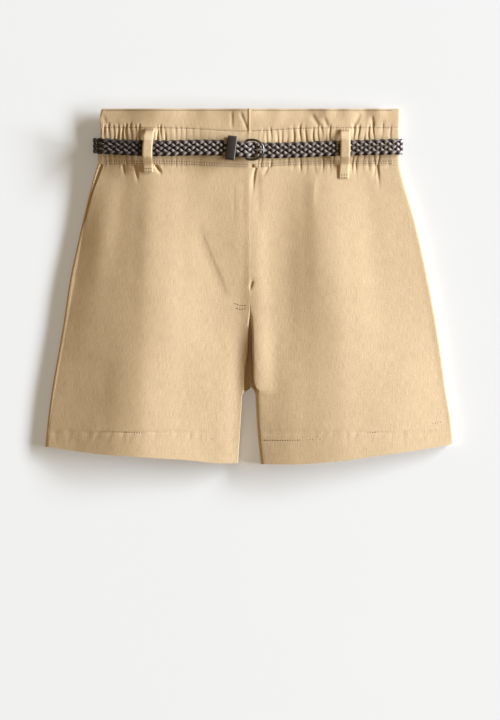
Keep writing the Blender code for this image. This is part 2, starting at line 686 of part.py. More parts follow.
# ---------------------------------------------------------------- the part
def build():
    for old in list(bpy.data.objects):
        bpy.data.objects.remove(old)
    for name, side in (("front_right", -1), ("front_left", 1)):
        add_front(name, side)
    for name, side in (("back_right", -1), ("back_left", 1)):
        add_back(name, side)
    for name, side in (("pocket_facing_right", -1), ("pocket_facing_left", 1)):
        add_pocket_facing(name, side)
    add_front_band("waistband_front_right", -1, RIGHT_GATHERS)
    add_front_band("waistband_front_left", 1, LEFT_GATHERS)
    add_back_band("waistband_back")
    for name, sizes in FRONT_LOOPS.items():
        add_front_loop(name, *sizes)
    for name, middle_x in BACK_LOOPS.items():
        add_back_loop(name, middle_x)
    strap = add_belt_strap("belt_strap")
    cut_prong_slit(strap)
    add_keeper("belt_keeper")
    add_buckle_frame("buckle_frame")
    add_prong("buckle_prong")


build()
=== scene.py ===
"""The looks of a pair of belted paper-bag shorts in tan twill, laid flat on their back.

+X is to the wearer's left, which is the right of the picture, +Y from the hems to the waist and +Z up.
Sizes are millimetres, turned into metres when a mesh is made. Right and left in a name are the wearer's.
"""
import math

import bpy
import numpy as np
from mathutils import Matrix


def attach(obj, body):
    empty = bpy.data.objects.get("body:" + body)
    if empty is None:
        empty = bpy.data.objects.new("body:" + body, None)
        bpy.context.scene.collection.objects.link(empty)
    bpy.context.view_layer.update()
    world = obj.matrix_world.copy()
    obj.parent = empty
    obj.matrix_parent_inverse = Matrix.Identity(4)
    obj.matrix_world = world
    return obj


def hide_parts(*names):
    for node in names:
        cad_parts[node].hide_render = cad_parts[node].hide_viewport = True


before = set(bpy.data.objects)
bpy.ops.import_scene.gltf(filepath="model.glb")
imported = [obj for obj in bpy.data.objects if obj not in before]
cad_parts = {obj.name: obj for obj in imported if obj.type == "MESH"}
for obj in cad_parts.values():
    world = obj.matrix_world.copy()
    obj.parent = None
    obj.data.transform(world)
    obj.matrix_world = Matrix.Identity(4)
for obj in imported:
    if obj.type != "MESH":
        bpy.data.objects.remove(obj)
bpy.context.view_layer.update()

MM = 0.001

# ---------------------------------------------------------------- the two fronts
# Each front is one panel of cotton twill, with a slanted pocket mouth, a turned-up hem and a side that rolls
# round to the back. The right one laps over the left one at the fly. They are puffed up by the air and the
# seams inside them, so the light from the side draws every slope.
BAND_SEAM_Y = 135.8
CASING_TOP_Y = 176.6
TOP_Y = 199.0
CROTCH_Y = -112.0
HEM_Y = -190.0
HEM_DEPTH = 27.0
POCKET_END_Y = 64.0
BACK_RISE_Y = 85.0
SIDE_ROLL = 8.0
FRONT_TOP_Z = 13.8
BACK_BAND_Z = 4.8
WAIST_MIDDLE_Z = 7.0
WAIST_EDGE_Z = 8.8
SEAM_GAP = 0.3
CLOTH = 1.4
HEM_CLOTH = 2.4
LIP = 0.2
FRILL_LIP = 0.5
SEAM_HALF_ANGLE = 2.0

# Outlines of the body, y and x.
RIGHT_OUTLINE = ((-179.0, -227.4), (-149.0, -224.5), (-113.0, -219.6), (-78.0, -213.4), (-42.0, -207.2),
                 (12.0, -199.0), (48.0, -191.2), (84.0, -182.9), (104.0, -178.0), (120.0, -173.8),
                 (136.0, -168.9))
LEFT_OUTLINE = ((-175.0, 229.2), (-149.0, 226.8), (-113.0, 220.8), (-78.0, 216.3), (-42.0, 210.7),
                (12.0, 200.8), (48.0, 193.0), (84.0, 184.0), (120.0, 173.0), (136.0, 169.0))
RIGHT_INNER = ((-197.5, -11.8), (-172.0, -10.2), (-140.0, -8.2), (-124.0, -7.3), (-119.5, -6.4),
               (-117.0, -3.0), (-114.5, 1.4), (-112.0, 2.6), (-104.0, 1.55), (136.0, 2.35))
LEFT_INNER = ((-198.3, 13.6), (-172.0, 10.9), (-154.0, 9.4), (-124.0, 7.9), (-119.5, 7.5),
              (-116.0, 6.4), (-112.0, 3.0), (-104.0, 1.7), (136.0, 2.5))
# Lower edges of the legs, x and y.
RIGHT_HEM = ((-227.4, -178.8), (-200.0, -182.8), (-166.0, -187.4), (-133.0, -189.8), (-99.0, -192.0),
             (-65.0, -194.2), (-37.0, -197.3), (-9.0, -197.4))
LEFT_HEM = ((9.0, -198.4), (58.0, -198.4), (108.0, -194.4), (139.0, -190.0), (169.0, -185.8),
            (199.0, -181.2), (229.2, -176.0))
# Heights that the fronts are drawn through: x at the waist and at the hem, then the height at FOLD_LEVELS.
FOLD_LEVELS = (-190.0, -130.0, -15.0, 64.0, 136.0)
FOLD_LINES = (
    (-172, -229, 5.8, 6.0, 6.2, 6.4, 8.2),
    (-150, -200, 9.7, 10.0, 11.0, 11.0, 9.8),
    (-138, -170, 14.0, 13.8, 13.8, 12.4, 11.0),
    (-124, -145, 17.2, 17.0, 16.0, 14.4, 12.8),
    (-110, -122, 18.6, 18.5, 17.7, 16.3, 13.9),
    (-90, -98, 17.6, 17.6, 17.6, 16.2, 13.9),
    (-68, -72, 15.7, 15.8, 15.8, 14.9, 13.5),
    (-46, -48, 13.8, 14.3, 14.0, 14.2, 13.9),
    (-26, -28, 12.8, 13.0, 13.0, 14.4, 13.9),
    (-8, -12, 11.6, 11.9, 12.7, 14.7, 13.8),
    (8, 14, 12.4, 14.8, 13.9, 14.3, 13.6),
    (22, 30, 14.2, 15.8, 13.1, 13.1, 13.2),
    (40, 46, 15.8, 16.8, 13.2, 12.7, 12.4),
    (58, 64, 16.8, 17.3, 14.7, 13.8, 12.0),
    (75, 86, 17.6, 17.9, 16.3, 15.4, 12.1),
    (92, 106, 17.6, 17.9, 16.6, 15.1, 11.9),
    (110, 130, 16.4, 16.6, 15.1, 13.5, 11.2),
    (130, 160, 14.6, 14.7, 12.5, 11.3, 10.2),
    (146, 190, 12.1, 12.3, 10.8, 10.4, 9.6),
    (172, 229, 8.2, 8.2, 8.6, 8.8, 8.8),
)
# How far the waist lies below its highest part: x, millimetres.
WAIST_SAG = tuple((row[0], row[-1] - FRONT_TOP_Z) for row in FOLD_LINES)
# Side seams and pocket mouths, as degrees up the side's roll from its widest point: y, degrees.
RIGHT_SEAM = ((-180.0, 60.0), (-113.0, 50.0), (60.0, 46.0), (136.0, 51.0))
LEFT_SEAM = ((-180.0, -25.0), (-113.0, -18.0), (60.0, -12.0), (136.0, -10.0))
RIGHT_MOUTH = ((64.0, 50.0), (70.0, 60.0), (76.0, 68.0), (88.0, 72.0), (98.0, 74.5), (106.0, 79.0),
               (115.0, 84.0), (122.0, 87.3), (129.0, 88.6), (136.0, 89.0))
LEFT_MOUTH = ((64.0, -9.0), (75.0, 12.0), (105.0, 32.0), (136.0, 40.0))

# Gathers of the elastic: x at the casing's upper stitch line, x at the band's seam, depth, how far each runs
# down into the body and up into the frill.
GATHERS = (
    (-160.7, -160.7, 0.8, 5, 5), (-155.7, -155.7, 1.1, 9, 8), (-150.6, -150.6, 1.0, 7, 5),
    (-145.6, -145.6, 1.1, 12, 9), (-140.6, -139.5, 1.0, 10, 5), (-136.1, -136.5, 1.1, 18, 6),
    (-131.0, -131.0, 1.0, 7, 8), (-126.0, -124.5, 1.1, 20, 5), (-122.1, -120.5, 0.9, 6, 6),
    (-101.9, -99.0, 1.2, 16, 6), (-98.0, -95.5, 0.9, 6, 5), (-93.5, -92.0, 0.8, 8, 4),
    (-87.9, -87.0, 0.5, 4, 6), (-81.2, -81.0, 0.5, 5, 4), (-75.6, -75.6, 0.4, 4, 5),
    (-70.0, -70.0, 0.4, 4, 4), (-62.0, -62.0, 0.3, 3, 3), (-54.0, -54.0, 0.3, 3, 4),
    (-45.0, -45.0, 0.2, 3, 3), (-36.0, -36.0, 0.3, 4, 3), (-27.0, -27.0, 0.2, 3, 3),
    (10.6, 11.4, 0.7, 5, 4), (16.6, 14.8, 0.8, 6, 4), (20.5, 20.5, 0.6, 4, 4), (25.2, 25.2, 0.9, 7, 5),
    (31.9, 34.2, 0.9, 8, 4), (37.1, 38.8, 0.7, 4, 5), (43.3, 44.6, 1.0, 8, 5), (50.8, 50.8, 1.2, 7, 8),
    (58.2, 58.2, 1.1, 10, 9), (64.4, 65.1, 1.0, 14, 6), (72.6, 74.3, 1.0, 12, 5), (77.8, 79.2, 0.7, 5, 7),
    (82.3, 83.4, 1.0, 14, 6), (86.8, 87.4, 0.8, 6, 9), (91.3, 91.3, 1.0, 9, 6), (98.0, 95.4, 1.0, 12, 4),
    (118.2, 116.5, 1.1, 10, 8), (123.8, 121.1, 1.1, 12, 6), (130.5, 128.6, 1.1, 12, 9),
    (135.0, 134.8, 1.0, 8, 8), (140.0, 141.1, 1.1, 26, 10), (150.3, 145.0, 1.1, 18, 12),
    (159.6, 157.0, 0.6, 5, 5),
)
# Creases and soft folds of the body: the points of its line, half width, height (a trough is negative), and
# the shares of its length over which it rises and dies away.
BODY_FOLDS = (
    (((-139.8, 137.0), (-138.0, 122.0)), 1.2, -0.9, 0.0, 0.8),
    (((-127.0, 137.0), (-122.6, 114.0)), 1.3, -1.0, 0.0, 0.8),
    (((-104.0, 137.0), (-101.0, 132.0), (-96.0, 125.0)), 1.3, -1.7, 0.0, 0.6),
    (((-141.5, 142.0), (-145.5, 134.0)), 1.0, -0.7, 0.2, 0.4),
    (((9.4, 137.0), (7.2, 128.6), (5.6, 119.6), (4.4, 97.0)), 1.5, -0.75, 0.0, 0.7),
    (((23.5, 136.0), (15.1, 120.0)), 1.6, -0.7, 0.0, 0.9),
    (((144.5, 136.0), (146.8, 106.0)), 1.6, -0.8, 0.0, 0.9),
    (((5.2, 7.0), (1.9, -3.0)), 1.4, -0.8, 0.2, 0.3),
    (((-16.2, 120.0), (-16.0, 62.0)), 1.6, -0.12, 0.3, 0.5),
    (((-6.0, 104.0), (-6.2, 80.0)), 1.5, -0.12, 0.4, 0.5),
)
# How much narrower a crease is on its right side, and how much wider on its left.
CREASE_LEAN = (0.75, 1.4)
# Large soft folds, in the same columns.
BROAD_FOLDS = (
    (((-60.0, 78.0), (-52.0, 48.0), (-45.4, 30.0), (-36.4, 12.1), (-29.7, -5.8), (-18.5, -18.1)), 6.5, -0.4,
     0.3, 0.3),
    (((10.0, 132.0), (12.0, 60.0)), 4.5, -0.35, 0.1, 0.6),
    (((74.0, 128.0), (70.0, 70.0)), 5.0, 0.35, 0.3, 0.6),
)


def smooth_curve(keys, values, t):
    """Smooth curve through keys and values, which may themselves change from point to point."""
    t = np.asarray(t, float)
    keys = [np.broadcast_to(np.asarray(k, float), t.shape) for k in keys]
    values = [np.broadcast_to(np.asarray(v, float), t.shape) for v in values]
    t = np.clip(t, keys[0], keys[-1])
    last = len(keys) - 1
    slopes = []
    for i in range(last + 1):
        low, high = max(i - 1, 0), min(i + 1, last)
        if low == i or high == i:
            slopes.append((values[high] - values[low]) / (keys[high] - keys[low]))
            continue
        before, after = keys[i] - keys[low], keys[high] - keys[i]
        rise = before**2 * values[high] + (after**2 - before**2) * values[i] - after**2 * values[low]
        slopes.append(rise / (before * after * (before + after)))
    result = np.zeros(t.shape)
    for i in range(last):
        span = keys[i + 1] - keys[i]
        u = (t - keys[i]) / span
        start = (1 + 2 * u) * (1 - u) ** 2 * values[i] + u * (1 - u) ** 2 * span * slopes[i]
        end = u * u * (3 - 2 * u) * values[i + 1] + u * u * (u - 1) * span * slopes[i + 1]
        result = np.where((u >= 0) & (u <= 1), start + end, result)
    return result


def table_curve(table, t):
    return smooth_curve([row[0] for row in table], [row[1] for row in table], t)


def of_side(side, right, left):
    """The right one of a pair of tables for side -1, the left one for side 1."""
    return right if side < 0 else left


def table_line(table, t):
    return np.interp(t, [row[0] for row in table], [row[1] for row in table])


def ramp(t):
    """0 to 1, with a soft start and end."""
    t = np.clip(t, 0.0, 1.0)
    return t * t * (3 - 2 * t)


def mix(a, b, t):
    return a + (b - a) * t


def waist_drop(x, y):
    """The band's seam and stitch lines dip towards the fly."""
    dip = 1.0 - 3.8 * np.exp(-(((x + 5.0) / 50.0) ** 2))
    up = ramp((y - 112.0) / 22.0) * (1 - ramp((y - CASING_TOP_Y) / 20.0))
    return dip * up


def front_height(x, y):
    """Height of the fronts' outer face above the surface, without its creases."""
    down = np.clip((BAND_SEAM_Y - y) / (BAND_SEAM_Y - HEM_Y), 0.0, 1.0)
    keys = [mix(row[0], row[1], down) for row in FOLD_LINES]
    values = [smooth_curve(FOLD_LEVELS, row[2:], y) for row in FOLD_LINES]
    return smooth_curve(keys, values, x)


def line_distance(x, y, points):
    """Distance to a line of points, and how far along it the nearest place is, from 0 to 1."""
    best = np.full(x.shape, 1e9)
    place = np.zeros(x.shape)
    lengths = [math.dist(a, b) for a, b in zip(points, points[1:])]
    done = 0.0
    for (ax, ay), (bx, by), length in zip(points, points[1:], lengths):
        t = np.clip(((x - ax) * (bx - ax) + (y - ay) * (by - ay)) / length**2, 0.0, 1.0)
        away = np.hypot(x - mix(ax, bx, t), y - mix(ay, by, t))
        nearer = away < best
        best = np.where(nearer, away, best)
        place = np.where(nearer, (done + t * length) / sum(lengths), place)
        done += length
    return best, place


def folds(x, y, table):
    """Creases, each steeper on its right side than on its left."""
    total = np.zeros(x.shape)
    for points, half_width, height, rise, fall in table:
        away, place = line_distance(x, y, points)
        share = ramp(place / max(rise, 1e-6)) * ramp((1 - place) / max(fall, 1e-6))
        (ax, ay), (bx, by) = points[0], points[-1]
        beyond = (x - ax) * (by - ay) - (y - ay) * (bx - ax) < 0
        wide = half_width * np.where(beyond, CREASE_LEAN[0], CREASE_LEAN[1])
        total = total + height * share * np.exp(-((away / wide) ** 2))
    return total


def gathers(x, y):
    """Narrow troughs of the elastic, with a puff between each two."""
    total = np.zeros(x.shape)
    up = (y - BAND_SEAM_Y) / (CASING_TOP_Y - BAND_SEAM_Y)
    for top_x, foot_x, depth, tail, head in GATHERS:
        wander = 0.7 * np.sin(y / 4.3 + top_x) * np.clip(depth, 0.0, 0.8)
        away = x - mix(foot_x, top_x, up) - wander
        below = ramp(1 - (BAND_SEAM_Y - y) / tail)
        above = ramp(1 - (y - CASING_TOP_Y) / head)
        share = np.minimum(below, above)
        share = share * (0.62 + 0.38 * np.sin(y / 7.1 + 2.3 * top_x))
        share = share * np.where(x < -90.0, mix(0.22, 1.0, ramp((y - 146.0) / 16.0)), 1.0)
        wide = (1.0 + 0.5 * (1 - share)) * np.where(away > 0, 0.75, np.where(x < -90.0, 1.3, 1.9))
        total -= np.where(x < -90.0, 1.25, 0.62) * depth * share * np.exp(-((away / wide) ** 2))
    return total


def groove(away, half_width, depth):
    return -depth * np.exp(-((away / half_width) ** 2))


def unevenness(x, y, seed, size, height):
    """Gentle waves in no set direction, from a few crossing sines."""
    chance = np.random.default_rng(seed)
    total = np.zeros(x.shape)
    for _ in range(9):
        heading, phase = chance.uniform(0.0, math.tau, 2)
        length = size * chance.uniform(0.6, 1.7)
        total += np.sin(math.tau * (x * math.cos(heading) + y * math.sin(heading)) / length + phase)
    return height * total / 3.0


def hem_puckers(x, y):
    """Short slanting dents below the hem's stitch line, and the line's own groove."""
    chance = np.random.default_rng(8)
    line_y = HEM_Y + HEM_DEPTH
    total = groove(y - line_y, 1.0, 0.3)
    for start in np.arange(-215.0, 215.0, 12.5):
        foot = start + chance.uniform(-3.0, 3.0)
        slant, depth = chance.uniform(-0.7, 0.0), chance.uniform(0.06, 0.26)
        away = x - foot - slant * (line_y - y)
        share = ramp((line_y + 2.0 - y) / 3.0) * ramp((y - line_y + 15.0) / 14.0)
        total -= depth * share * np.exp(-((away / 2.6) ** 2))
    return total


def crotch_sink(x, y):
    """The cloth between the legs sinks into the fold that runs up from the crotch to the fly's end."""
    share = ramp((-24.0 - y) / 50.0) * ramp((y + 124.0) / 10.0)
    low = ramp((-60.0 - y) / 40.0)
    away = x - mix(1.8, -2.4, low)
    wide = np.where(away > 0, mix(1.5, 4.5, low), mix(1.0, 1.6, low))
    rim = ramp((x - 1.0) / 5.0) * ramp((34.0 - x) / 28.0)
    return share * (1.7 * rim - 4.2 * np.exp(-((away / wide) ** 2)))


def body_relief(x, y):
    """All that stands out of or sinks into the fronts' smooth form."""
    stitched = groove(y - BAND_SEAM_Y + 0.6, 1.1, 0.35)
    return (gathers(x, y) + folds(x, y, BODY_FOLDS) + folds(x, y, BROAD_FOLDS)
            + unevenness(x, y, 3, 70.0, 0.10) + unevenness(x, y, 4, 15.0, 0.015)
            + stitched + hem_puckers(x, y) + crotch_sink(x, y))


def fly_lip(x, y):
    """The right front's edge stands up where it laps over the left front, most of all in the frill."""
    frilled = ramp((y - 166.0) / 12.0)
    wide = mix(7.0, 2.1, frilled)
    ridge = ramp((x - 1.0 + wide) / wide) - 0.6 * ramp((x - 1.0) / 1.5)
    return mix(LIP, FRILL_LIP, frilled) * ridge * ramp((y + 14.0) / 16.0)


def stretches(*counts):
    """Columns from -1 up, one stretch of 1 after another, each with its own number of points."""
    parts = [np.linspace(start - 1, start, count)[min(start, 1):] for start, count in enumerate(counts)]
    return np.concatenate(parts)


def back_floor(y):
    return BACK_BAND_Z * ramp((y - BACK_RISE_Y) / (BAND_SEAM_Y - BACK_RISE_Y))


def side_middle(side, y):
    laid = 3.6 if side < 0 else 5.8
    return mix(laid, WAIST_MIDDLE_Z, ramp((y - BACK_RISE_Y) / (BAND_SEAM_Y - BACK_RISE_Y)))


def outline(side, y):
    return table_curve(of_side(side, RIGHT_OUTLINE, LEFT_OUTLINE), y)


def squared(t):
    """Makes a round edge turn late and tightly, as pressed cloth does."""
    return np.sign(t) * np.abs(t) ** 0.45


def turned(degrees):
    """How far out and how far up a place on a side's roll lies, squared off above its widest point."""
    angle = np.radians(degrees)
    across = np.where(angle >= 0, squared(np.cos(angle)), np.cos(angle))
    up = np.where(angle >= 0, squared(np.sin(angle)), np.sin(angle))
    return angle >= 0, across, up


def roll_point(side, y, degrees, inset):
    """A point on a side's roll: 90 degrees is its top, 0 its widest point, -90 its bottom."""
    above, across, up = turned(degrees)
    edge = outline(side, y)
    middle = side_middle(side, y)
    x = edge - side * (SIDE_ROLL - (SIDE_ROLL - inset) * across)
    outer_x = edge - side * SIDE_ROLL * (1 - across)
    high = middle + (front_height(outer_x, y) - middle - inset) * up
    low = middle + (middle - back_floor(y) - inset) * up
    return x, np.where(above, high, low)


def inner_edge(side, y):
    return table_line(of_side(side, RIGHT_INNER, LEFT_INNER), y)


def inner_low(y):
    return table_line(((-150.0, 5.0), (-119.5, 3.0), (CROTCH_Y, 2.1)), y)


RIGHT_INNER_ROLL = ((-198.0, 0.2), (-124.0, 0.2), (-119.5, 0.8), (-117.0, 3.0), (-114.5, 6.6), (-112.0, 7.0),
                    (-104.0, 6.0), (-88.0, 4.4), (-70.0, 2.6), (-50.0, 2.2), (-20.0, 2.0))
LEFT_INNER_ROLL = ((-198.0, 6.5), (-122.0, 5.5), (-116.0, 5.0), (-112.0, 5.4), (-104.0, 4.4), (-88.0, 3.4),
                   (-70.0, 2.4), (-50.0, 2.2), (-20.0, 2.0))


def inner_roll(side, y):
    return table_line(of_side(side, RIGHT_INNER_ROLL, LEFT_INNER_ROLL), y)


def front_point(side, column, y, inset):
    """Column -1 to 0 goes up the side's roll, 0 to 1 across the panel, 1 to 2 down its inner edge."""
    mouth = table_curve(of_side(side, RIGHT_MOUTH, LEFT_MOUTH), y)
    start = table_curve(of_side(side, RIGHT_SEAM, LEFT_SEAM), y) + SEAM_HALF_ANGLE
    start = np.where(y > POCKET_END_Y, np.maximum(start, mouth), start)
    degrees = mix(90.0, start, np.clip(-column, 0.0, 1.0))
    side_x, side_z = roll_point(side, y, degrees, inset)
    side_z = side_z + body_relief(side_x, y) * np.clip(np.sin(np.radians(degrees)), 0.0, 1.0)

    inner = inner_edge(side, y)
    width = inner_roll(side, y)
    flat_x = mix(outline(side, y) - side * SIDE_ROLL, inner + side * width, np.clip(column, 0.0, 1.0))
    flat_z = front_height(flat_x, y) + body_relief(flat_x, y) - inset

    # On the legs the edge rolls over; above the crotch it drops into the fold and runs on along its bottom.
    turn = np.clip(column, 1.0, 2.0) - 1
    into_fold = ramp((-30.0 - y) / 24.0) * ramp((y + 119.0) / 7.0)
    across = mix(squared(np.sin(turn * math.pi / 2)), turn**1.8, into_fold)
    fall = mix(1 - squared(np.cos(turn * math.pi / 2)), 1 - (1 - turn) ** 2.6, into_fold)
    sink = ramp((-14.0 - y) / 74.0)
    outer_x = inner + side * width * (1 - across)
    inner_x = inner + side * (width - (width - inset * sink) * across)
    top = front_height(outer_x, y) + body_relief(outer_x, y)
    if side < 0:
        flat_z = flat_z + fly_lip(flat_x, y)
        top = top + fly_lip(outer_x, y)
    inner_z = top - sink * (top - inner_low(y)) * fall
    inner_z = inner_z - inset * (1 - sink * fall)

    x = np.where(column < 0, side_x, np.where(column <= 1, flat_x, inner_x))
    z = np.where(column < 0, side_z, np.where(column <= 1, flat_z, inner_z))
    return x, z


def hem_shift(side, x, y):
    """How far the slanting hem moves a point that lies near it."""
    hem = table_curve(of_side(side, RIGHT_HEM, LEFT_HEM), x)
    return (hem - HEM_Y) * ramp((-100.0 - y) / 60.0)


def panel_grid(side, point, rows, columns, inset):
    """A grid of points, x, y and z, for one face of a panel; inset may change from row to row."""
    column, y = np.meshgrid(columns, rows)
    x, z = point(side, column, y, 0.0)
    y = y + hem_shift(side, x, y) + waist_drop(x, y)
    x, z = point(side, column, y, inset[:, None])
    return np.stack([x, y, z], -1)


def placed(name, data):
    """A new object in the scene, with its place in its mesh."""
    piece = bpy.data.objects.new(name, data)
    bpy.context.scene.collection.objects.link(piece)
    return piece


def cloth_wall(name, outer, inner, finish):
    """A closed wall between two grids, with a UV map in metres along and across the cloth."""
    rows, cols = outer.shape[:2]
    count = rows * cols
    points = np.concatenate([outer.reshape(-1, 3), inner.reshape(-1, 3)]) * MM
    at = np.arange(count).reshape(rows, cols)
    quads = np.stack([at[:-1, :-1], at[:-1, 1:], at[1:, 1:], at[1:, :-1]], -1).reshape(-1, 4)
    rim = np.concatenate([at[0, :-1], at[:-1, -1], at[-1, :0:-1], at[:0:-1, 0]])
    beyond = np.roll(rim, -1)
    edge = np.stack([beyond, rim, rim + count, beyond + count], -1)
    faces = np.concatenate([quads, quads[:, ::-1] + count, edge])
    a, b, c, d = (points[faces[:, i]] for i in range(4))
    volume = np.einsum("ij,ij->", a, np.cross(b, c)) + np.einsum("ij,ij->", a, np.cross(c, d))
    if volume < 0:
        faces = faces[:, ::-1]
    mesh = bpy.data.meshes.new(name)
    mesh.vertices.add(len(points))
    mesh.vertices.foreach_set("co", points.ravel())
    mesh.loops.add(faces.size)
    mesh.loops.foreach_set("vertex_index", faces.ravel())
    mesh.polygons.add(len(faces))
    mesh.polygons.foreach_set("loop_start", np.arange(0, faces.size, 4))
    mesh.update(calc_edges=True)
    across = np.linalg.norm(np.diff(outer, axis=1), axis=-1).mean(0).cumsum()
    along = np.linalg.norm(np.diff(outer, axis=0), axis=-1).mean(1).cumsum()
    u, v = np.meshgrid(np.append(0.0, across), np.append(0.0, along))
    place = np.tile(np.stack([u, v], -1).reshape(-1, 2), (2, 1)) * MM
    mesh.uv_layers.new(name="cloth").data.foreach_set("uv", place[faces.ravel()].ravel())
    mesh.polygons.foreach_set("use_smooth", np.ones(len(faces), bool))
    mesh.set_sharp_from_angle(angle=math.radians(50))
    mesh.materials.append(finish)
    return placed(name, mesh)


class Shade:
    """A shader socket that takes part in ordinary sums; each sum adds its Math node."""

    def __init__(self, tree, socket=None):
        self.tree = tree
        self.socket = socket

    def node(self, kind, inputs, out=0, **settings):
        """Adds one node: its settings first, then its sockets, and gives back one of its outputs."""
        made = self.tree.nodes.new("ShaderNode" + kind)
        for setting, value in settings.items():
            setattr(made, setting, value)
        for key, value in inputs.items():
            if isinstance(value, Shade):
                self.tree.links.new(value.socket, made.inputs[key])
            else:
                made.inputs[key].default_value = value
        return Shade(self.tree, made.outputs[out])

    def sum(self, operation, a, b):
        return self.node("Math", {0: a, 1: b}, operation=operation)

    def __add__(self, other):
        return self.sum("ADD", self, other)

    def __sub__(self, other):
        return self.sum("SUBTRACT", self, other)

    def __rsub__(self, other):
        return self.sum("SUBTRACT", other, self)

    def __mul__(self, other):
        return self.sum("MULTIPLY", self, other)

    __radd__ = __add__
    __rmul__ = __mul__

    def wave(self):
        """0 to 1 and back, once for each whole number."""
        return self.node("Math", {0: self * math.tau}, operation="SINE") * 0.5 + 0.5

    def feed(self, shader, name):
        """Links this to one of the shader's own sockets."""
        self.tree.links.new(self.socket, shader.inputs[name])

    def tint(self, low, high):
        """From one colour to another as this goes from 0 to 1."""
        return self.node("Mix", {0: self, 6: low, 7: high}, out=2, data_type="RGBA")


def new_finish(name, roughness, metallic=0.0, **constants):
    """A material with its constants set; gives back the material, its tree and its shader."""
    material = bpy.data.materials.new(name)
    material.use_nodes = True
    shader = material.node_tree.nodes["Principled BSDF"]
    shader.inputs["Roughness"].default_value = roughness
    shader.inputs["Metallic"].default_value = metallic
    for socket, value in constants.items():
        shader.inputs[socket.replace("_", " ")].default_value = value
    return material, Shade(material.node_tree), shader


def twill_finish():
    """Tan cotton twill: fine diagonal ribs, uneven yarns that run lengthwise, and a slightly mottled dye."""
    material, shade, shader = new_finish("twill", 0.88, Sheen_Weight=0.12, Sheen_Roughness=0.5)
    cloth = shade.node("UVMap", {}, uv_map="cloth")
    split = cloth.node("SeparateXYZ", {0: cloth})
    across, along = split, Shade(split.tree, split.socket.node.outputs[1])
    ribs = ((across + along * 0.62) * (1000.0 / 0.85)).wave()
    stretched = shade.node("CombineXYZ", {0: across * 1250.0, 1: along * 95.0, 2: 0.0})
    yarns = shade.node("TexNoise", {"Vector": stretched, "Scale": 1.0, "Detail": 3.0, "Roughness": 0.65})
    crossed = shade.node("CombineXYZ", {0: across * 300.0, 1: along * 1100.0, 2: 4.0})
    picks = shade.node("TexNoise", {"Vector": crossed, "Scale": 1.0, "Detail": 2.0, "Roughness": 0.6})
    grain = shade.node("TexNoise", {"Vector": cloth, "Scale": 900.0, "Detail": 2.0, "Roughness": 0.7})
    mottle = shade.node("TexNoise", {"Vector": cloth, "Scale": 60.0, "Detail": 4.0})
    tone = yarns * 0.46 + grain * 0.36 + picks * 0.14 + mottle * 0.04
    tone = (tone - 0.5) * 3.4 + 0.5
    colour = tone.tint((0.53, 0.370, 0.198, 1.0), (0.81, 0.60, 0.365, 1.0))
    height = ribs * 0.3 + yarns * 0.5 + picks * 0.25 + grain * 0.35
    bump = shade.node("Bump", {"Height": height, "Strength": 0.5, "Distance": 0.0004})
    colour.feed(shader, "Base Color")
    bump.feed(shader, "Normal")
    return material


TWILL = twill_finish()
HEM_STITCH_ROWS = [HEM_Y + HEM_DEPTH + step for step in (1.6, 0.8, 0.0, -0.8, -1.6)]
FRONT_ROWS = np.array(sorted(
    set(np.arange(BAND_SEAM_Y - SEAM_GAP / 2, 96.0, -1.3)) | set(np.arange(95.0, HEM_Y, -2.6))
    | set(np.arange(-108.0, -126.0, -1.3)) | set(HEM_STITCH_ROWS) | {HEM_Y}, reverse=True))
FRONT_COLUMNS = stretches(13, 191, 15)
for name, side in (("front_right", -1), ("front_left", 1)):
    none = np.zeros(len(FRONT_ROWS))
    wall = np.where(FRONT_ROWS < HEM_Y + HEM_DEPTH - 0.5, HEM_CLOTH, CLOTH)
    outer = panel_grid(side, front_point, FRONT_ROWS, FRONT_COLUMNS, none)
    inner = panel_grid(side, front_point, FRONT_ROWS, FRONT_COLUMNS, wall)
    front = cloth_wall("cloth_" + name, outer, inner, TWILL)
    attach(front, "root")
    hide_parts(name)
    "back_" + name[6:]

# ---------------------------------------------------------------- the two backs
# Each back is one plain twill panel with a turned-up hem. It lies flat on the surface, curls up to the side
# seam and up the inner leg, and lifts towards the waist, where the belt's back lies under the band.
BACK_FOLDS = (
    (((-150.0, 120.0), (-158.0, 20.0), (-190.0, -120.0)), 5.0, 0.5, 0.1, 0.4),
    (((-60.0, 100.0), (-70.0, -20.0)), 8.0, 0.5, 0.2, 0.5),
    (((52.0, 110.0), (70.0, 10.0), (84.0, -90.0)), 6.0, 0.5, 0.1, 0.5),
    (((140.0, 120.0), (150.0, 30.0)), 5.0, 0.4, 0.2, 0.6),
)


def back_point(side, column, y, inset):
    """From the side seam down the roll, across and up the inner leg."""
    seam = table_curve(of_side(side, RIGHT_SEAM, LEFT_SEAM), y) - SEAM_HALF_ANGLE
    side_x, side_z = roll_point(side, y, mix(-90.0, seam, np.clip(-column, 0.0, 1.0)), inset)

    inner = inner_edge(side, y)
    width = inner_roll(side, y)
    floor = back_floor(y)
    flat_x = mix(outline(side, y) - side * SIDE_ROLL, inner + side * width, np.clip(column, 0.0, 1.0))
    away = np.sin(math.pi * np.clip(column, 0.0, 1.0))
    dent = folds(flat_x, y, BACK_FOLDS) - gathers(flat_x + 2.3, y) * 0.6 * ramp((y - 100.0) / 30.0)
    flat_z = floor + np.clip(dent, 0.0, 1.0) * away + inset

    angle = np.radians(90.0 * (2 - np.clip(column, 1.0, 2.0)))
    lift = np.clip((CROTCH_Y - y) / 12.0, 0.0, 1.0)
    inner_x = inner + side * (width - (width - inset * lift) * np.cos(angle))
    inner_z = floor + lift * (inner_low(y) - SEAM_GAP - floor) * (1 - np.sin(angle))
    inner_z = inner_z + inset * (1 - lift + lift * np.sin(angle))

    x = np.where(column < 0, side_x, np.where(column <= 1, flat_x, inner_x))
    z = np.where(column < 0, side_z, np.where(column <= 1, flat_z, inner_z))
    return x, z


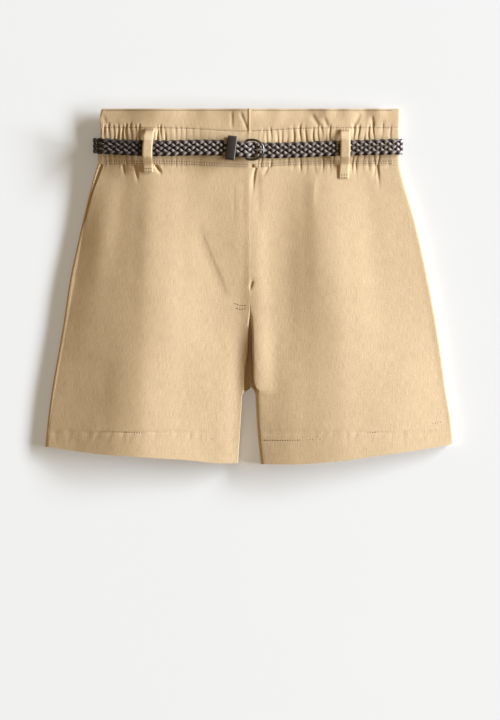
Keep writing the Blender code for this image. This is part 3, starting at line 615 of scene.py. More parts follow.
BACK_ROWS = FRONT_ROWS[(FRONT_ROWS > 95.0) | (FRONT_ROWS < -100.0) | (np.arange(len(FRONT_ROWS)) % 2 == 0)]
BACK_COLUMNS = stretches(17, 91, 13)
for name, side in (("back_right", -1), ("back_left", 1)):
    none = np.zeros(len(BACK_ROWS))
    wall = np.where(BACK_ROWS < HEM_Y + HEM_DEPTH - 0.5, HEM_CLOTH, CLOTH)
    outer = panel_grid(side, back_point, BACK_ROWS, BACK_COLUMNS, none)
    inner = panel_grid(side, back_point, BACK_ROWS, BACK_COLUMNS, wall)
    back = cloth_wall("cloth_" + name, outer, inner, TWILL)
    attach(back, "root")
    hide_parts(name)

# ---------------------------------------------------------------- the pocket facings
# In each slanted pocket mouth shows a strip of twill. It is sewn into the side seam and runs under the front,
# where the pocket's bag would hang from it.
FACING_CLOTH = 1.0
FACING_UNDER = CLOTH + SEAM_GAP + 0.1
for name, side in (("pocket_facing_right", -1), ("pocket_facing_left", 1)):
    y = np.append(FRONT_ROWS[FRONT_ROWS > POCKET_END_Y + 3.0], POCKET_END_Y + 2.0)
    y = y + waist_drop(side * 170.0, y)
    first = table_curve(of_side(side, RIGHT_SEAM, LEFT_SEAM), y) + SEAM_HALF_ANGLE
    last = np.maximum(table_curve(of_side(side, RIGHT_MOUTH, LEFT_MOUTH), y), first + 1.0)
    stops = [(first, 0.2)]
    stops += [(mix(first, last, t), mix(0.2, FACING_UNDER, ramp(t))) for t in (0.2, 0.4, 0.6, 0.8, 0.95)]
    stops += [(mix(last, 90.0, t), FACING_UNDER) for t in (0.3, 0.6, 1.0)]
    faces = []
    for wall in (0.0, FACING_CLOTH):
        line = [np.stack([x, y, z], -1) for x, z in (roll_point(side, y, d, i + wall) for d, i in stops)]
        x = line[-1][:, 0] - side * 8.0
        line.append(np.stack([x, y, front_height(x, y) - FACING_UNDER - wall], -1))
        faces.append(np.stack(line, 1))
    facing = cloth_wall("cloth_" + name, faces[0], faces[1], TWILL)
    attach(facing, "root")
    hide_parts(name)
    "cloth_front_" + name[14:]

# ---------------------------------------------------------------- the waistband
# A double piece of twill on each side of the fly and one across the back. The elastic runs in the lower part,
# which gathers it, and the part above its stitch line stands free as a frill.
BAND_ROLL = 6.0
BAND_CLOTH = 2.0
BACK_BAND_CLOTH = 1.4
BAND_RIGHT_OUTLINE = ((136.0, -168.6), (146.0, -168.0), (164.0, -166.0), (176.0, -165.2), (186.0, -166.4),
                      (199.0, -164.5))
BAND_LEFT_OUTLINE = ((136.0, 168.8), (160.0, 169.2), (176.0, 168.8), (186.0, 169.4), (199.0, 169.4))
# Lines of stitching on the band besides the casing's upper one, then each line's groove: y, depth.
LOWER_LINE_Y = BAND_SEAM_Y + 1.0
UPPER_LINE_Y = BAND_SEAM_Y + 3.6
FRILL_LINE_Y = TOP_Y - 2.0
BAND_GROOVES = ((CASING_TOP_Y, 0.3), (UPPER_LINE_Y, 0.15), (LOWER_LINE_Y, 0.2), (FRILL_LINE_Y, 0.12))
# Soft waves of the frill: x of the crest, half width, height.
FRILL_WAVES = ((-96.0, 22.0, 1.5), (-48.0, 12.0, 0.5), (-4.0, 20.0, 2.3), (34.0, 10.0, 0.9),
               (66.0, 8.0, -0.6), (88.0, 8.0, 0.9), (112.0, 8.0, 0.8), (130.0, 5.0, -0.5), (146.0, 8.0, 0.9))
# The pit where the fly's lap ends, then the frill's creases, in the columns of the body's folds.
FRILL_FOLDS = (
    (((3.4, 138.2), (6.4, 136.8)), 1.5, -1.8, 0.0, 0.0),
    (((-18.5, 197.0), (-18.0, 178.0)), 1.7, -0.35, 0.2, 0.3),
    (((-9.5, 196.0), (-0.5, 178.0)), 1.5, -0.5, 0.2, 0.2),
    (((-163.0, 194.0), (-158.0, 178.0)), 2.0, -0.3, 0.3, 0.2),
    (((70.0, 194.0), (80.0, 177.0)), 2.6, -0.6, 0.3, 0.2),
    (((84.0, 190.0), (90.0, 176.0)), 2.2, -0.5, 0.3, 0.2),
    (((126.0, 196.0), (118.0, 177.0)), 2.6, -0.5, 0.3, 0.2),
    (((138.0, 192.0), (140.0, 177.0)), 2.0, -0.6, 0.3, 0.2),
)


def frill_height(x, y):
    up = ramp((y - CASING_TOP_Y) / (TOP_Y - CASING_TOP_Y))
    wave = sum(height * np.exp(-(((x - crest) / half) ** 2)) for crest, half, height in FRILL_WAVES)
    return wave * up


def band_outline(side, y):
    return table_curve(of_side(side, BAND_RIGHT_OUTLINE, BAND_LEFT_OUTLINE), y)


def stitch_lines(y):
    """The lines of stitching press a groove into the band."""
    return sum(groove(y - line_y, 0.75, depth) for line_y, depth in BAND_GROOVES)


def band_relief(x, y):
    return (gathers(x, y) + folds(x, y, FRILL_FOLDS) + frill_height(x, y) + stitch_lines(y)
            + table_curve(WAIST_SAG, x) + unevenness(x, y, 5, 22.0, 0.05))


def band_roll_point(side, y, degrees, inset):
    above, across, up = turned(degrees)
    x = band_outline(side, y) - side * (BAND_ROLL - (BAND_ROLL - inset) * across)
    reach = np.where(above, WAIST_EDGE_Z - WAIST_MIDDLE_Z, WAIST_MIDDLE_Z - BACK_BAND_Z)
    return x, WAIST_MIDDLE_Z + (reach - inset) * up


BAND_ROWS = set(np.linspace(BAND_SEAM_Y + SEAM_GAP / 2, TOP_Y, 44).round(2))
for line_y, depth in BAND_GROOVES:
    BAND_ROWS |= {round(line_y + step, 2) for step in (-1.1, -0.55, 0.0, 0.55, 1.1)}
BAND_ROWS = np.array(sorted(BAND_ROWS))
for name, side in (("waistband_front_right", -1), ("waistband_front_left", 1)):
    first = table_curve(of_side(side, RIGHT_SEAM, LEFT_SEAM), BAND_SEAM_Y) + SEAM_HALF_ANGLE
    fly_x = inner_edge(side, BAND_SEAM_Y)
    faces = []
    for wall in (0.0, BAND_CLOTH):
        column, y = np.meshgrid(stretches(13, 241), BAND_ROWS)
        degrees = mix(90.0, first, np.clip(-column, 0.0, 1.0))
        roll_x, roll_z = band_roll_point(side, y, degrees, wall)
        flat_x = mix(band_outline(side, y) - side * BAND_ROLL, fly_x, np.clip(column, 0.0, 1.0))
        x = np.where(column < 0, roll_x, flat_x)
        z = np.where(column < 0, roll_z, WAIST_EDGE_Z - wall)
        up = squared(np.clip(np.sin(np.radians(degrees)), 0.0, 1.0))
        z = z + (band_relief(x, y) + FRONT_TOP_Z - WAIST_EDGE_Z) * up
        if side < 0:
            z = z + fly_lip(x, y)
        faces.append(np.stack([x, y + waist_drop(x, y), z], -1))
    band = cloth_wall("cloth_" + name, faces[0], faces[1], TWILL)
    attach(band, "root")
    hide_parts(name)

right_seam = table_curve(RIGHT_SEAM, BAND_SEAM_Y) - SEAM_HALF_ANGLE
left_seam = table_curve(LEFT_SEAM, BAND_SEAM_Y) - SEAM_HALF_ANGLE
faces = []
for wall in (0.0, BACK_BAND_CLOTH):
    column, y = np.meshgrid(stretches(15, 321, 11), BAND_ROWS[::2])
    right_x, right_z = band_roll_point(-1, y, mix(-90.0, right_seam, np.clip(-column, 0.0, 1.0)), wall)
    left_x, left_z = band_roll_point(1, y, mix(-90.0, left_seam, np.clip(column - 1, 0.0, 1.0)), wall)
    flat_x = mix(band_outline(-1, y) + BAND_ROLL, band_outline(1, y) - BAND_ROLL, np.clip(column, 0.0, 1.0))
    flat_z = BACK_BAND_Z + wall + np.clip(-gathers(flat_x + 2.3, y), 0.0, 0.9)
    x = np.where(column < 0, right_x, np.where(column <= 1, flat_x, left_x))
    z = np.where(column < 0, right_z, np.where(column <= 1, flat_z, left_z))
    faces.append(np.stack([x, y + waist_drop(x, y), z], -1))
back_band = cloth_wall("cloth_waistband_back", faces[0], faces[1], TWILL)
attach(back_band, "root")
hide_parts("waistband_back")

# ---------------------------------------------------------------- the belt loops
# Folded twill strips, stitched to the casing's upper line and to the panel under the band. Two hold the belt
# in front; three plain ones hold it behind.
LOOP_WIDE = 11.2
LOOP_CLOTH = 1.2
BELT_WIDE = 18.5
BELT_Y = ((-174.0, 157.5), (-120.0, 154.8), (-30.0, 155.0), (-4.0, 153.4), (18.0, 152.4), (91.0, 154.4),
          (174.0, 156.6))
# x at the top, middle and bottom, upper end, lower end, height over the belt.
FRONT_LOOPS = {
    "loop_front_right": (-110.3, -113.0, -112.3, 177.0, 127.8, 21.5),
    "loop_front_left": (108.2, 108.3, 106.4, 176.0, 121.1, 17.4),
}
BACK_LOOPS = {"loop_back_right": -105.0, "loop_back_centre": 0.0, "loop_back_left": 105.0}


def belt_middle_y(x):
    return table_curve(BELT_Y, x)


def loop_ground(x, y):
    """Height of the cloth that a front loop lies on, away from the belt."""
    return FRONT_TOP_Z + 0.4 + frill_height(x, y) + table_curve(WAIST_SAG, x)


for name, (top_x, middle_x, bottom_x, top_y, bottom_y, bridge_z) in FRONT_LOOPS.items():
    belt_y = float(belt_middle_y(middle_x))
    across, y = np.meshgrid(np.linspace(-0.5, 0.5, 17), np.linspace(top_y, bottom_y, 75))
    x = smooth_curve([bottom_y, belt_y, top_y], [bottom_x, middle_x, top_x], y) + across * LOOP_WIDE
    bridge = ramp((BELT_WIDE / 2 + 10.0 - np.abs(y - belt_y)) / 10.5)
    ground = loop_ground(x, y)
    rounding = 0.5 * (1 - np.clip(1 - (2 * np.abs(across)) ** 8, 0.0, 1.0))
    middle = mix(ground, np.maximum(bridge_z, ground), bridge)
    faces = [np.stack([x, y, middle + up], -1) for up in (LOOP_CLOTH - rounding, np.zeros(x.shape))]
    loop = cloth_wall("cloth_" + name, faces[0], faces[1], TWILL)
    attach(loop, "root")
    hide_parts(name)

for name, middle_x in BACK_LOOPS.items():
    belt_y = float(mix(belt_middle_y(-174.0), belt_middle_y(174.0), 0.5))
    across, y = np.meshgrid(np.linspace(-0.5, 0.5, 13), np.linspace(177.0, 126.0, 61))
    x = middle_x + across * LOOP_WIDE
    near_belt = ramp((BELT_WIDE / 2 + 6.0 - np.abs(y - belt_y)) / 4.0)
    upper = mix(back_floor(y) - SEAM_GAP, LOOP_CLOTH, near_belt)
    faces = [np.stack([x, y, upper - wall], -1) for wall in (LOOP_CLOTH, 0.0)]
    loop = cloth_wall("cloth_" + name, faces[0], faces[1], TWILL)
    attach(loop, "root")
    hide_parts(name)

# ---------------------------------------------------------------- the belt strap
# Six flat strands of dark brown leather in a flat plait. The strap starts at the buckle, goes round the back
# and comes up through the buckle and over itself, through the keeper and the right loop.
BELT_THICK = 2.6
PLAIT_PITCH = 9.0
STRANDS = 6
BACK_BELT_Z = 2.8
UNDER_BELT_Z = 16.5
RIGHT_BELT_Z = 15.4
OVER_BELT_Z = 19.5
BAR_X = -3.5
STRAND_WIDE = 3.4
STRAND_THICK = 1.5
STRAND_RISE = 0.8
STRAND_SWAY = 6.5
STRAP_END_X = 174.0
# How far each strand stands out of the strap at the crossings it meets, from the upper edge down and back.
OVER_UNDER = (0.0, 1.0, -1.0, 1.0, -1.0, 1.0, 0.0, -1.0, 1.0, -1.0, 1.0, -1.0, 0.0)


def bend(middle_x, middle_z, half_x, half_z, start, end, count):
    """Points round an ellipse, in degrees."""
    turn = np.radians(np.linspace(start, end, count + 1))
    return [(middle_x + half_x * math.cos(a), middle_z + half_z * math.sin(a)) for a in turn]


def belt_path():
    """Middle line of the strap, x and z, from the buckle round the back and over itself."""
    under_z = (UNDER_BELT_Z + BACK_BELT_Z) / 2
    right_z = (RIGHT_BELT_Z + BACK_BELT_Z) / 2
    path = [(BAR_X - 1.5, UNDER_BELT_Z)] + [(x, UNDER_BELT_Z) for x in np.linspace(-20.0, -150.0, 14)]
    path += bend(-160.0, under_z, 9.0, UNDER_BELT_Z - under_z, 90.0, 270.0, 24)
    path += [(x, BACK_BELT_Z) for x in np.linspace(-150.0, 150.0, 31)]
    path += bend(160.0, right_z, 11.7, RIGHT_BELT_Z - right_z, -90.0, 90.0, 24)
    for x in np.linspace(158.0, -158.0, 159):
        path.append((x, float(mix(RIGHT_BELT_Z, OVER_BELT_Z, ramp((14.0 - x) / 18.0)))))
    return path + bend(-160.0, under_z, 12.7, OVER_BELT_Z - under_z, 90.0, 205.0, 20)


def sweep_tree():
    """Geometry nodes that sweep a flat oval along lines of points, upright to their attribute up."""
    tree = bpy.data.node_groups.new("sweep", "GeometryNodeTree")
    tree.interface.new_socket("Geometry", in_out="INPUT", socket_type="NodeSocketGeometry")
    sizes = (("Width", "Float"), ("Thickness", "Float"), ("Sides", "Int"), ("Material", "Material"))
    for name, kind in sizes:
        tree.interface.new_socket(name, in_out="INPUT", socket_type="NodeSocket" + kind)
    tree.interface.new_socket("Geometry", in_out="OUTPUT", socket_type="NodeSocketGeometry")
    nodes = tree.nodes
    given, result = nodes.new("NodeGroupInput"), nodes.new("NodeGroupOutput")
    lines, upright = nodes.new("GeometryNodeMeshToCurve"), nodes.new("GeometryNodeSetCurveNormal")
    up = nodes.new("GeometryNodeInputNamedAttribute")
    ring, size = nodes.new("GeometryNodeCurvePrimitiveCircle"), nodes.new("ShaderNodeCombineXYZ")
    oval, sweep = nodes.new("GeometryNodeTransform"), nodes.new("GeometryNodeCurveToMesh")
    smooth, real = nodes.new("GeometryNodeSetShadeSmooth"), nodes.new("GeometryNodeRealizeInstances")
    finish = nodes.new("GeometryNodeSetMaterial")
    upright.mode = "FREE"
    up.data_type = "FLOAT_VECTOR"
    up.inputs["Name"].default_value = "up"
    ring.inputs["Radius"].default_value = 0.5
    size.inputs["Z"].default_value = 1.0
    sweep.inputs["Fill Caps"].default_value = True
    for source, target in (
        (given.outputs["Geometry"], lines.inputs["Mesh"]),
        (lines.outputs["Curve"], upright.inputs["Curve"]),
        (up.outputs["Attribute"], upright.inputs["Normal"]),
        (given.outputs["Sides"], ring.inputs["Resolution"]),
        (given.outputs["Thickness"], size.inputs["X"]),
        (given.outputs["Width"], size.inputs["Y"]),
        (ring.outputs["Curve"], oval.inputs["Geometry"]),
        (size.outputs["Vector"], oval.inputs["Scale"]),
        (upright.outputs["Curve"], sweep.inputs["Curve"]),
        (oval.outputs["Geometry"], sweep.inputs["Profile Curve"]),
        (sweep.outputs["Mesh"], smooth.inputs["Geometry"]),
        (smooth.outputs["Geometry"], real.inputs["Geometry"]),
        (real.outputs["Geometry"], finish.inputs["Geometry"]),
        (given.outputs["Material"], finish.inputs["Material"]),
        (finish.outputs["Geometry"], result.inputs["Geometry"]),
    ):
        tree.links.new(source, target)
    return tree


SWEEP = sweep_tree()


def swept(name, lines, width, thickness, sides, finish, closed=False, over=None):
    """A plain mesh of round or oval strands along lines, each an array of points and one of their ups."""
    points = np.concatenate([line for line, up in lines]) * MM
    ups = np.concatenate([np.broadcast_to(up, line.shape) for line, up in lines])
    edges = []
    start = 0
    for line, up in lines:
        edges += [(start + i, start + i + 1) for i in range(len(line) - 1)]
        if closed:
            edges.append((start + len(line) - 1, start))
        start += len(line)
    guide = bpy.data.meshes.new(name)
    guide.from_pydata(points.tolist(), edges, [])
    guide.attributes.new("up", "FLOAT_VECTOR", "POINT").data.foreach_set("vector", ups.ravel())
    if over is not None:
        guide.attributes.new("over", "FLOAT", "POINT").data.foreach_set("value", np.concatenate(over))
    piece = placed(name, guide)
    maker = piece.modifiers.new("sweep", "NODES")
    maker.node_group = SWEEP
    sockets = {item.name: item.identifier for item in SWEEP.interface.items_tree if item.in_out == "INPUT"}
    maker[sockets["Width"]] = width * MM
    maker[sockets["Thickness"]] = thickness * MM
    maker[sockets["Sides"]] = sides
    maker[sockets["Material"]] = finish
    graph = bpy.context.evaluated_depsgraph_get()
    mesh = bpy.data.meshes.new_from_object(piece.evaluated_get(graph), depsgraph=graph)
    piece.modifiers.remove(maker)
    piece.data = mesh
    return piece


def braid_finish():
    """Dark brown leather strands: wear and painted sheen on top, painted shade in the gaps and at the left
    end.
    """
    material, shade, shader = new_finish(
        "braid", 0.5, Specular_IOR_Level=0.55, Specular_Tint=(1.0, 0.86, 0.76, 1.0))
    place = shade.node("TexCoord", {}, out=3)
    grain = shade.node("TexNoise", {"Vector": place, "Scale": 900.0, "Detail": 4.0})
    wear = shade.node("TexNoise", {"Vector": place, "Scale": 150.0, "Detail": 2.0})
    over = shade.node("Attribute", {}, out=2, attribute_name="over")
    split = shade.node("SeparateXYZ", {0: place})
    # Painted shade: left of x -85 mm the strap darkens, down to a fifth of its colour past -118 mm, where it
    # turns round the side.
    left_end_shade = shade.node("MapRange", {0: split, 1: -0.118, 2: -0.085, 3: 0.2, 4: 1.0})
    # Painted sheen and painted shade, with wear: strands are lighter where they lie on top and near black
    # where they pass under and between each other.
    wear_sheen_and_gap_shade = shade.node("MapRange", {0: over + wear * 0.5, 1: 0.55, 2: 1.25, 3: 0.0, 4: 1.0})
    tone = wear_sheen_and_gap_shade * left_end_shade * (wear * 0.8 + 0.6)
    colour = tone.tint((0.006, 0.0045, 0.0045, 1.0), (0.33, 0.27, 0.25, 1.0))
    bump = shade.node("Bump", {"Height": grain, "Strength": 0.25, "Distance": 0.0002})
    rough = wear * 0.2 + 0.38
    colour.feed(shader, "Base Color")
    rough.feed(shader, "Roughness")
    bump.feed(shader, "Normal")
    return material


BRAID = braid_finish()
path = np.array(belt_path())
run = np.append(0.0, np.hypot(*np.diff(path, axis=0).T).cumsum())
along = np.arange(0.0, run[-1], 1.0)
middle_x, middle_z = np.interp(along, run, path[:, 0]), np.interp(along, run, path[:, 1])
kernel = np.ones(5) / 5
turn_x, turn_z = np.gradient(middle_x), np.gradient(middle_z)
turn_x, turn_z = (np.convolve(np.pad(t, 2, mode="edge"), kernel, "valid") for t in (turn_x, turn_z))
size = np.hypot(turn_x, turn_z)
out = np.stack([turn_z / size, np.zeros(len(along)), -turn_x / size], -1)
on_front = (middle_z > (UNDER_BELT_Z + BACK_BELT_Z) / 2) | (np.abs(middle_x) > 160.0)
ends_y = belt_middle_y(-STRAP_END_X), belt_middle_y(STRAP_END_X)
back_y = mix(*ends_y, (middle_x + STRAP_END_X) / (2 * STRAP_END_X))
middle_y = np.where(on_front, belt_middle_y(middle_x), back_y)
strands, heights = [], []
for strand in range(STRANDS):
    phase = (along / (STRANDS * PLAIT_PITCH) + strand / STRANDS) % 1.0
    v = STRAND_SWAY * np.arcsin(0.9 * np.cos(math.tau * phase))
    over = smooth_curve(np.arange(13) / 12, OVER_UNDER, phase)
    heights.append(over)
    h = over * STRAND_RISE
    line = np.stack([middle_x, middle_y + v, middle_z], -1) + out * h[:, None]
    strands.append((line, out))
strap = swept("belt_braid", strands, STRAND_WIDE, STRAND_THICK, 8, BRAID, over=heights)
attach(strap, "root")
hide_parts("belt_strap")

# ---------------------------------------------------------------- the keeper
# A ring of smooth brown leather round both layers of the strap, with cut edges; the right one has a painted
# highlight.
KEEPER_X = -19.2
KEEPER_Y = 155.0
KEEPER_HALF = (5.2, 13.5)
KEEPER_Z = (14.15, 22.45)
KEEPER_WALL = 0.9
KEEPER_CORNER = 2.4
KEEPER_LEAN = 0.13


def leather_finish():
    material, shade, shader = new_finish("smooth_leather", 0.5)
    place = shade.node("TexCoord", {}, out=3)
    grain = shade.node("TexVoronoi", {"Vector": place, "Scale": 1500.0})
    tone = shade.node("TexNoise", {"Vector": place, "Scale": 200.0, "Detail": 3.0})
    split = shade.node("SeparateXYZ", {0: place})
    across = split - Shade(split.tree, split.socket.node.outputs[1]) * KEEPER_LEAN
    middle = (KEEPER_X - KEEPER_LEAN * KEEPER_Y) * MM
    # Painted highlight: the cut edge on the right, towards the lamp, is light grey; the left one stays dark.
    lit_edge = shade.node("MapRange", {0: across, 1: middle + 4.3 * MM, 2: middle + 4.7 * MM, 3: 0.0, 4: 1.0})
    dark = tone.tint((0.020, 0.013, 0.011, 1.0), (0.040, 0.028, 0.023, 1.0))
    colour = lit_edge.tint(dark, (0.19, 0.165, 0.155, 1.0))
    bump = shade.node("Bump", {"Height": grain, "Strength": 0.2, "Distance": 0.0001})
    colour.feed(shader, "Base Color")
    bump.feed(shader, "Normal")
    return material


LEATHER = leather_finish()
half_x, half_y = KEEPER_HALF
low, high = KEEPER_Z
rings = []
profile = ((0.45, -1.0), (0.15, -0.96), (0.0, -0.86), (0.0, 0.86), (0.15, 0.96), (0.45, 1.0),
           (KEEPER_WALL - 0.2, 1.0), (KEEPER_WALL, 0.94), (KEEPER_WALL, -0.94), (KEEPER_WALL - 0.2, -1.0),
           (0.45, -1.0))
for inset, end in profile:
    ring = []
    for quarter, (sy, sz) in enumerate(((1, 1), (-1, 1), (-1, -1), (1, -1))):
        for step in range(9):
            angle = math.radians(90.0 * quarter + 90.0 * step / 8)
            radius = KEEPER_CORNER - inset
            y = sy * (half_y - KEEPER_CORNER) + radius * math.cos(angle)
            z = (high if sz > 0 else low) - sz * KEEPER_CORNER + radius * math.sin(angle)
            x = KEEPER_X + end * half_x + KEEPER_LEAN * y
            ring.append((x, KEEPER_Y + y - KEEPER_LEAN * end * half_x, z))
    rings.append(ring)
count = len(rings[0])
points = [tuple(MM * c for c in p) for ring in rings[:-1] for p in ring]
faces = []
for i in range(len(rings) - 1):
    here, there = i * count, ((i + 1) % (len(rings) - 1)) * count
    faces += [(here + k, here + (k + 1) % count, there + (k + 1) % count, there + k) for k in range(count)]
mesh = bpy.data.meshes.new("keeper_ring")
mesh.from_pydata(points, [], faces)
mesh.polygons.foreach_set("use_smooth", [True] * len(faces))
mesh.set_sharp_from_angle(angle=math.radians(35))
mesh.materials.append(LEATHER)
keeper = placed("keeper_ring", mesh)
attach(keeper, "root")
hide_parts("belt_keeper")

# ---------------------------------------------------------------- the buckle
# A D-shaped ring of steel wire, a little flattened, coloured dark as a painted reflection. The strap's end
# starts at its straight bar. A prong coloured lighter as a painted highlight comes up between two strands of
# the free end and lies on the round bar.
FRAME_LONG = 20.1
FRAME_HALF = 11.0
FRAME_Y = 153.0
BAR_Z = 16.7
OUTER_BAR_Z = 19.5
WIRE = 1.1
PRONG = 0.7
RING_WIDE = 2.5 * WIRE
RING_THICK = 2.3 * WIRE
RING_CORNER = 4.0
BOW_START = 8.0


def steel_finish(name, dark, light, least_rough):
    """Steel with faint smears, rougher where they are thick."""
    material, shade, shader = new_finish(name, 0.22, metallic=1.0)
    place = shade.node("TexCoord", {}, out=3)
    smear = shade.node("TexNoise", {"Vector": place, "Scale": 300.0, "Detail": 3.0})
    colour = smear.tint(dark, light)
    rough = smear * 0.15 + least_rough
    colour.feed(shader, "Base Color")
    rough.feed(shader, "Roughness")
    return material


# One steel in two copies: the ring's is darkened as a painted dark reflection, the prong's lightened as a
# painted highlight.
SHADED_METAL = steel_finish("steel", (0.11, 0.102, 0.094, 1.0), (0.19, 0.178, 0.166, 1.0), 0.27)
LIT_BRUSHED_METAL = steel_finish("lit_brushed_metal", (0.60, 0.595, 0.59, 1.0), (0.75, 0.745, 0.74, 1.0), 0.5)
corner = np.radians(np.linspace(180.0, 90.0, 9))
bow = np.radians(np.linspace(88.0, -88.0, 45))
corner_x = RING_CORNER + RING_CORNER * np.cos(corner)
corner_y = FRAME_HALF - RING_CORNER + RING_CORNER * np.sin(corner)
bow_x = BOW_START + (FRAME_LONG - BOW_START) * np.cos(bow)
ring_x = np.concatenate([np.zeros(5), corner_x, bow_x, corner_x[:0:-1]])
ring_y = np.concatenate([np.linspace(-6.0, 6.0, 5), corner_y, FRAME_HALF * np.sin(bow), -corner_y[:0:-1]])
ring_z = BAR_Z + (OUTER_BAR_Z - BAR_Z) / FRAME_LONG * ring_x
wire = np.stack([BAR_X + ring_x, FRAME_Y + ring_y, ring_z], -1)
buckle = swept("buckle_ring", [(wire, (0.0, 0.0, 1.0))], RING_WIDE, RING_THICK, 16, SHADED_METAL, closed=True)
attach(buckle, "root")
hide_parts("buckle_frame")

outer_x = BAR_X + FRAME_LONG
rest_z = OUTER_BAR_Z + WIRE + PRONG + 0.1
route = ((BAR_X + WIRE + PRONG + 0.2, 16.0), (2.4, 15.92), (4.2, 15.4), (6.0, 16.0), (8.2, 17.7),
         (10.4, 19.5), (13.0, 21.2), (outer_x, rest_z), (outer_x + 1.4, rest_z - 0.2))
prong_x = np.linspace(route[0][0], route[-1][0], 49)
prong_z = table_curve(route, prong_x)
prong_line = np.stack([prong_x, np.full(49, float(belt_middle_y(8.0))), prong_z], -1)
prong = swept("buckle_pin", [(prong_line, (0.0, 1.0, 0.0))], 2 * PRONG, 2 * PRONG, 14, LIT_BRUSHED_METAL)
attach(prong, "root")
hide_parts("buckle_prong")

# ---------------------------------------------------------------- the stitching
# Lockstitch in tan thread. Each stitch lies on the cloth and goes down at both ends; painted shade marks the
# needle holes.
STITCH_PITCH = 2.8
STITCH_LONG = 1.45
THREAD = 0.5
HOLE_LONG = 1.3
HOLE_DEEP = 0.3
TACK_HALF = 4.6


def body_top(side, x, y):
    z = front_height(x, y) + body_relief(x, y)
    return z + fly_lip(x, y) if side < 0 else z


def band_top(side, x, y):
    z = FRONT_TOP_Z + band_relief(x, y)
    return z + fly_lip(x, y) if side < 0 else z


def band_under(side, x, y):
    return np.full(x.shape, BACK_BAND_Z) + np.clip(-gathers(x + 2.3, y), 0.0, 0.9)


def loop_top(side, x, y):
    return loop_ground(x, y) + LOOP_CLOTH


def stitch_row(side, line, top, outward=1.0):
    """Stitches along a line on a surface, and dark patches of painted shade for the needle holes between
    them.
    """
    points = np.array(line, float)
    run = np.append(0.0, np.hypot(*np.diff(points, axis=0).T).cumsum())

    def laid(at, lift):
        x, y = np.interp(at, run, points[:, 0]), np.interp(at, run, points[:, 1])
        z = top(side, x, y) + outward * lift
        return np.stack([x, y + hem_shift(side, x, y) + waist_drop(x, y), z], -1), (0.0, 0.0, 1.0)

    stitches, holes = [], []
    for start in np.arange(0.4, run[-1] - STITCH_PITCH, STITCH_PITCH):
        thread_at = start + np.array([0.0, 0.5, 1.0]) * STITCH_LONG
        stitches.append(laid(thread_at, np.array([-0.12, 0.14, -0.12])))
        hole_at = start + STITCH_LONG + np.array([0.12, STITCH_PITCH - STITCH_LONG - 0.12])
        holes.append(laid(hole_at, 0.03))
    return stitches, holes


thread, shade, shader = new_finish("thread", 0.8)
place = shade.node("TexCoord", {}, out=3)
twist = shade.node("TexNoise", {"Vector": place, "Scale": 2500.0})
twist.tint((0.72, 0.55, 0.37, 1.0), (0.90, 0.74, 0.54, 1.0)).feed(shader, "Base Color")
# Painted shade: each needle hole is a flat dark brown patch laid on the cloth.
hole_shade, shade, shader = new_finish("needle_hole", 0.95)
depth = shade.node("TexNoise", {"Vector": shade.node("TexCoord", {}, out=3), "Scale": 2000.0})
depth.tint((0.10, 0.056, 0.03, 1.0), (0.20, 0.12, 0.07, 1.0)).feed(shader, "Base Color")

ROWS_OF_STITCHES = []
BAND_STITCHES = (FRILL_LINE_Y, CASING_TOP_Y, LOWER_LINE_Y, UPPER_LINE_Y)
for side, edge, fly_x in ((-1, -161.0, 0.6), (1, 162.0, 3.4)):
    hem = [(side * 217.0, HEM_Y + HEM_DEPTH), (side * 15.0, HEM_Y + HEM_DEPTH)]
    ROWS_OF_STITCHES.append((side, hem, body_top, 1.0))
    for y in BAND_STITCHES:
        ROWS_OF_STITCHES.append((side, [(edge, y), (fly_x, y)], band_top, 1.0))
    for y in BAND_STITCHES:
        ROWS_OF_STITCHES.append((side, [(side * 156.0, y), (0.0, y)], band_under, -1.0))
# The fly's bar tacks.
ROWS_OF_STITCHES += [
    (-1, [(-17.0, -18.0), (-8.4, -21.0), (-1.0, -20.8)], body_top, 1.0),
    (-1, [(-15.0, -23.4), (-8.4, -25.2), (-1.0, -24.4)], body_top, 1.0),
]
# The bar tacks of the front loops.
for name, (top_x, middle_x, bottom_x, top_y, bottom_y, bridge_z) in FRONT_LOOPS.items():
    for x, y in ((bottom_x, bottom_y + 0.6), (bottom_x, bottom_y + 3.4), (top_x, top_y - 2.4)):
        tack = [(x - TACK_HALF, y), (x + TACK_HALF, y)]
        ROWS_OF_STITCHES.append((1, tack, loop_top, 1.0))
stitches, holes = [], []
for side, line, top, outward in ROWS_OF_STITCHES:
    more_stitches, more_holes = stitch_row(side, line, top, outward)
    stitches += more_stitches
    holes += more_holes
for name, rows, wide, high, finish in (("stitches", stitches, THREAD, THREAD, thread),
                                       ("needle_holes", holes, HOLE_LONG, HOLE_DEEP, hole_shade)):
    row = swept(name, rows, wide, high, 6, finish)
    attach(row, "root")

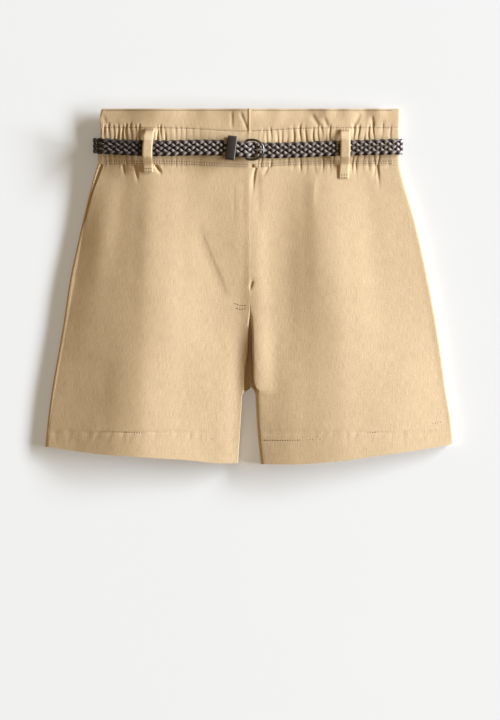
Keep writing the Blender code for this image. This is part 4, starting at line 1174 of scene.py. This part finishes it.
# ---------------------------------------------------------------- the surface, the light and the camera
# A white table that glows faintly, a wide soft lamp low on the right, a little light from all round, and a
# camera straight above with a long lens.
CAMERA_AT = (0.0017, -0.082)
SHOWN_HIGH = 0.806
LENS = 400.0
SENSOR_HIGH = 36.0
bpy.ops.mesh.primitive_plane_add(size=6.0)
floor = bpy.context.object
floor.name = "floor"
white, shade, shader = new_finish(
    "light_table", 0.9, Emission_Color=(1.0, 1.0, 1.0, 1.0), Emission_Strength=0.15)
speck = shade.node("TexNoise", {"Vector": shade.node("TexCoord", {}, out=3), "Scale": 6.0})
speck.tint((0.72, 0.72, 0.72, 1.0), (0.73, 0.73, 0.73, 1.0)).feed(shader, "Base Color")
floor.data.materials.append(white)

LAMP_AWAY = 30.0
LAMP_UP = math.radians(13.5)
LAMP_ROUND = math.radians(12.0)
LAMP_SIZE = (4.2, 28.0)
LAMP_POWER = 37500.0
lamp_data = bpy.data.lights.new("softbox", "AREA")
lamp_data.shape = "RECTANGLE"
lamp_data.size, lamp_data.size_y = LAMP_SIZE
lamp_data.energy = LAMP_POWER
lamp_data.color = (0.83, 0.905, 1.0)
lamp = placed("softbox", lamp_data)
lamp.location = (LAMP_AWAY * math.cos(LAMP_UP) * math.cos(LAMP_ROUND),
                 LAMP_AWAY * math.cos(LAMP_UP) * math.sin(LAMP_ROUND), LAMP_AWAY * math.sin(LAMP_UP))
lamp.rotation_euler = (0.0, math.radians(90.0) - LAMP_UP, LAMP_ROUND)
lamp.visible_camera = False

world = bpy.data.worlds.new("room")
world.use_nodes = True
room_light = world.node_tree.nodes["Background"].inputs
room_light["Color"].default_value = (1.0, 0.78, 0.47, 1.0)
room_light["Strength"].default_value = 0.30
bpy.context.scene.world = world
bpy.context.scene.view_settings.view_transform = "Standard"

camera_data = bpy.data.cameras.new("camera")
camera_data.lens = LENS
camera_data.sensor_width = SENSOR_HIGH
camera = placed("camera", camera_data)
camera.location = (*CAMERA_AT, SHOWN_HIGH * LENS / SENSOR_HIGH)
bpy.context.scene.camera = camera
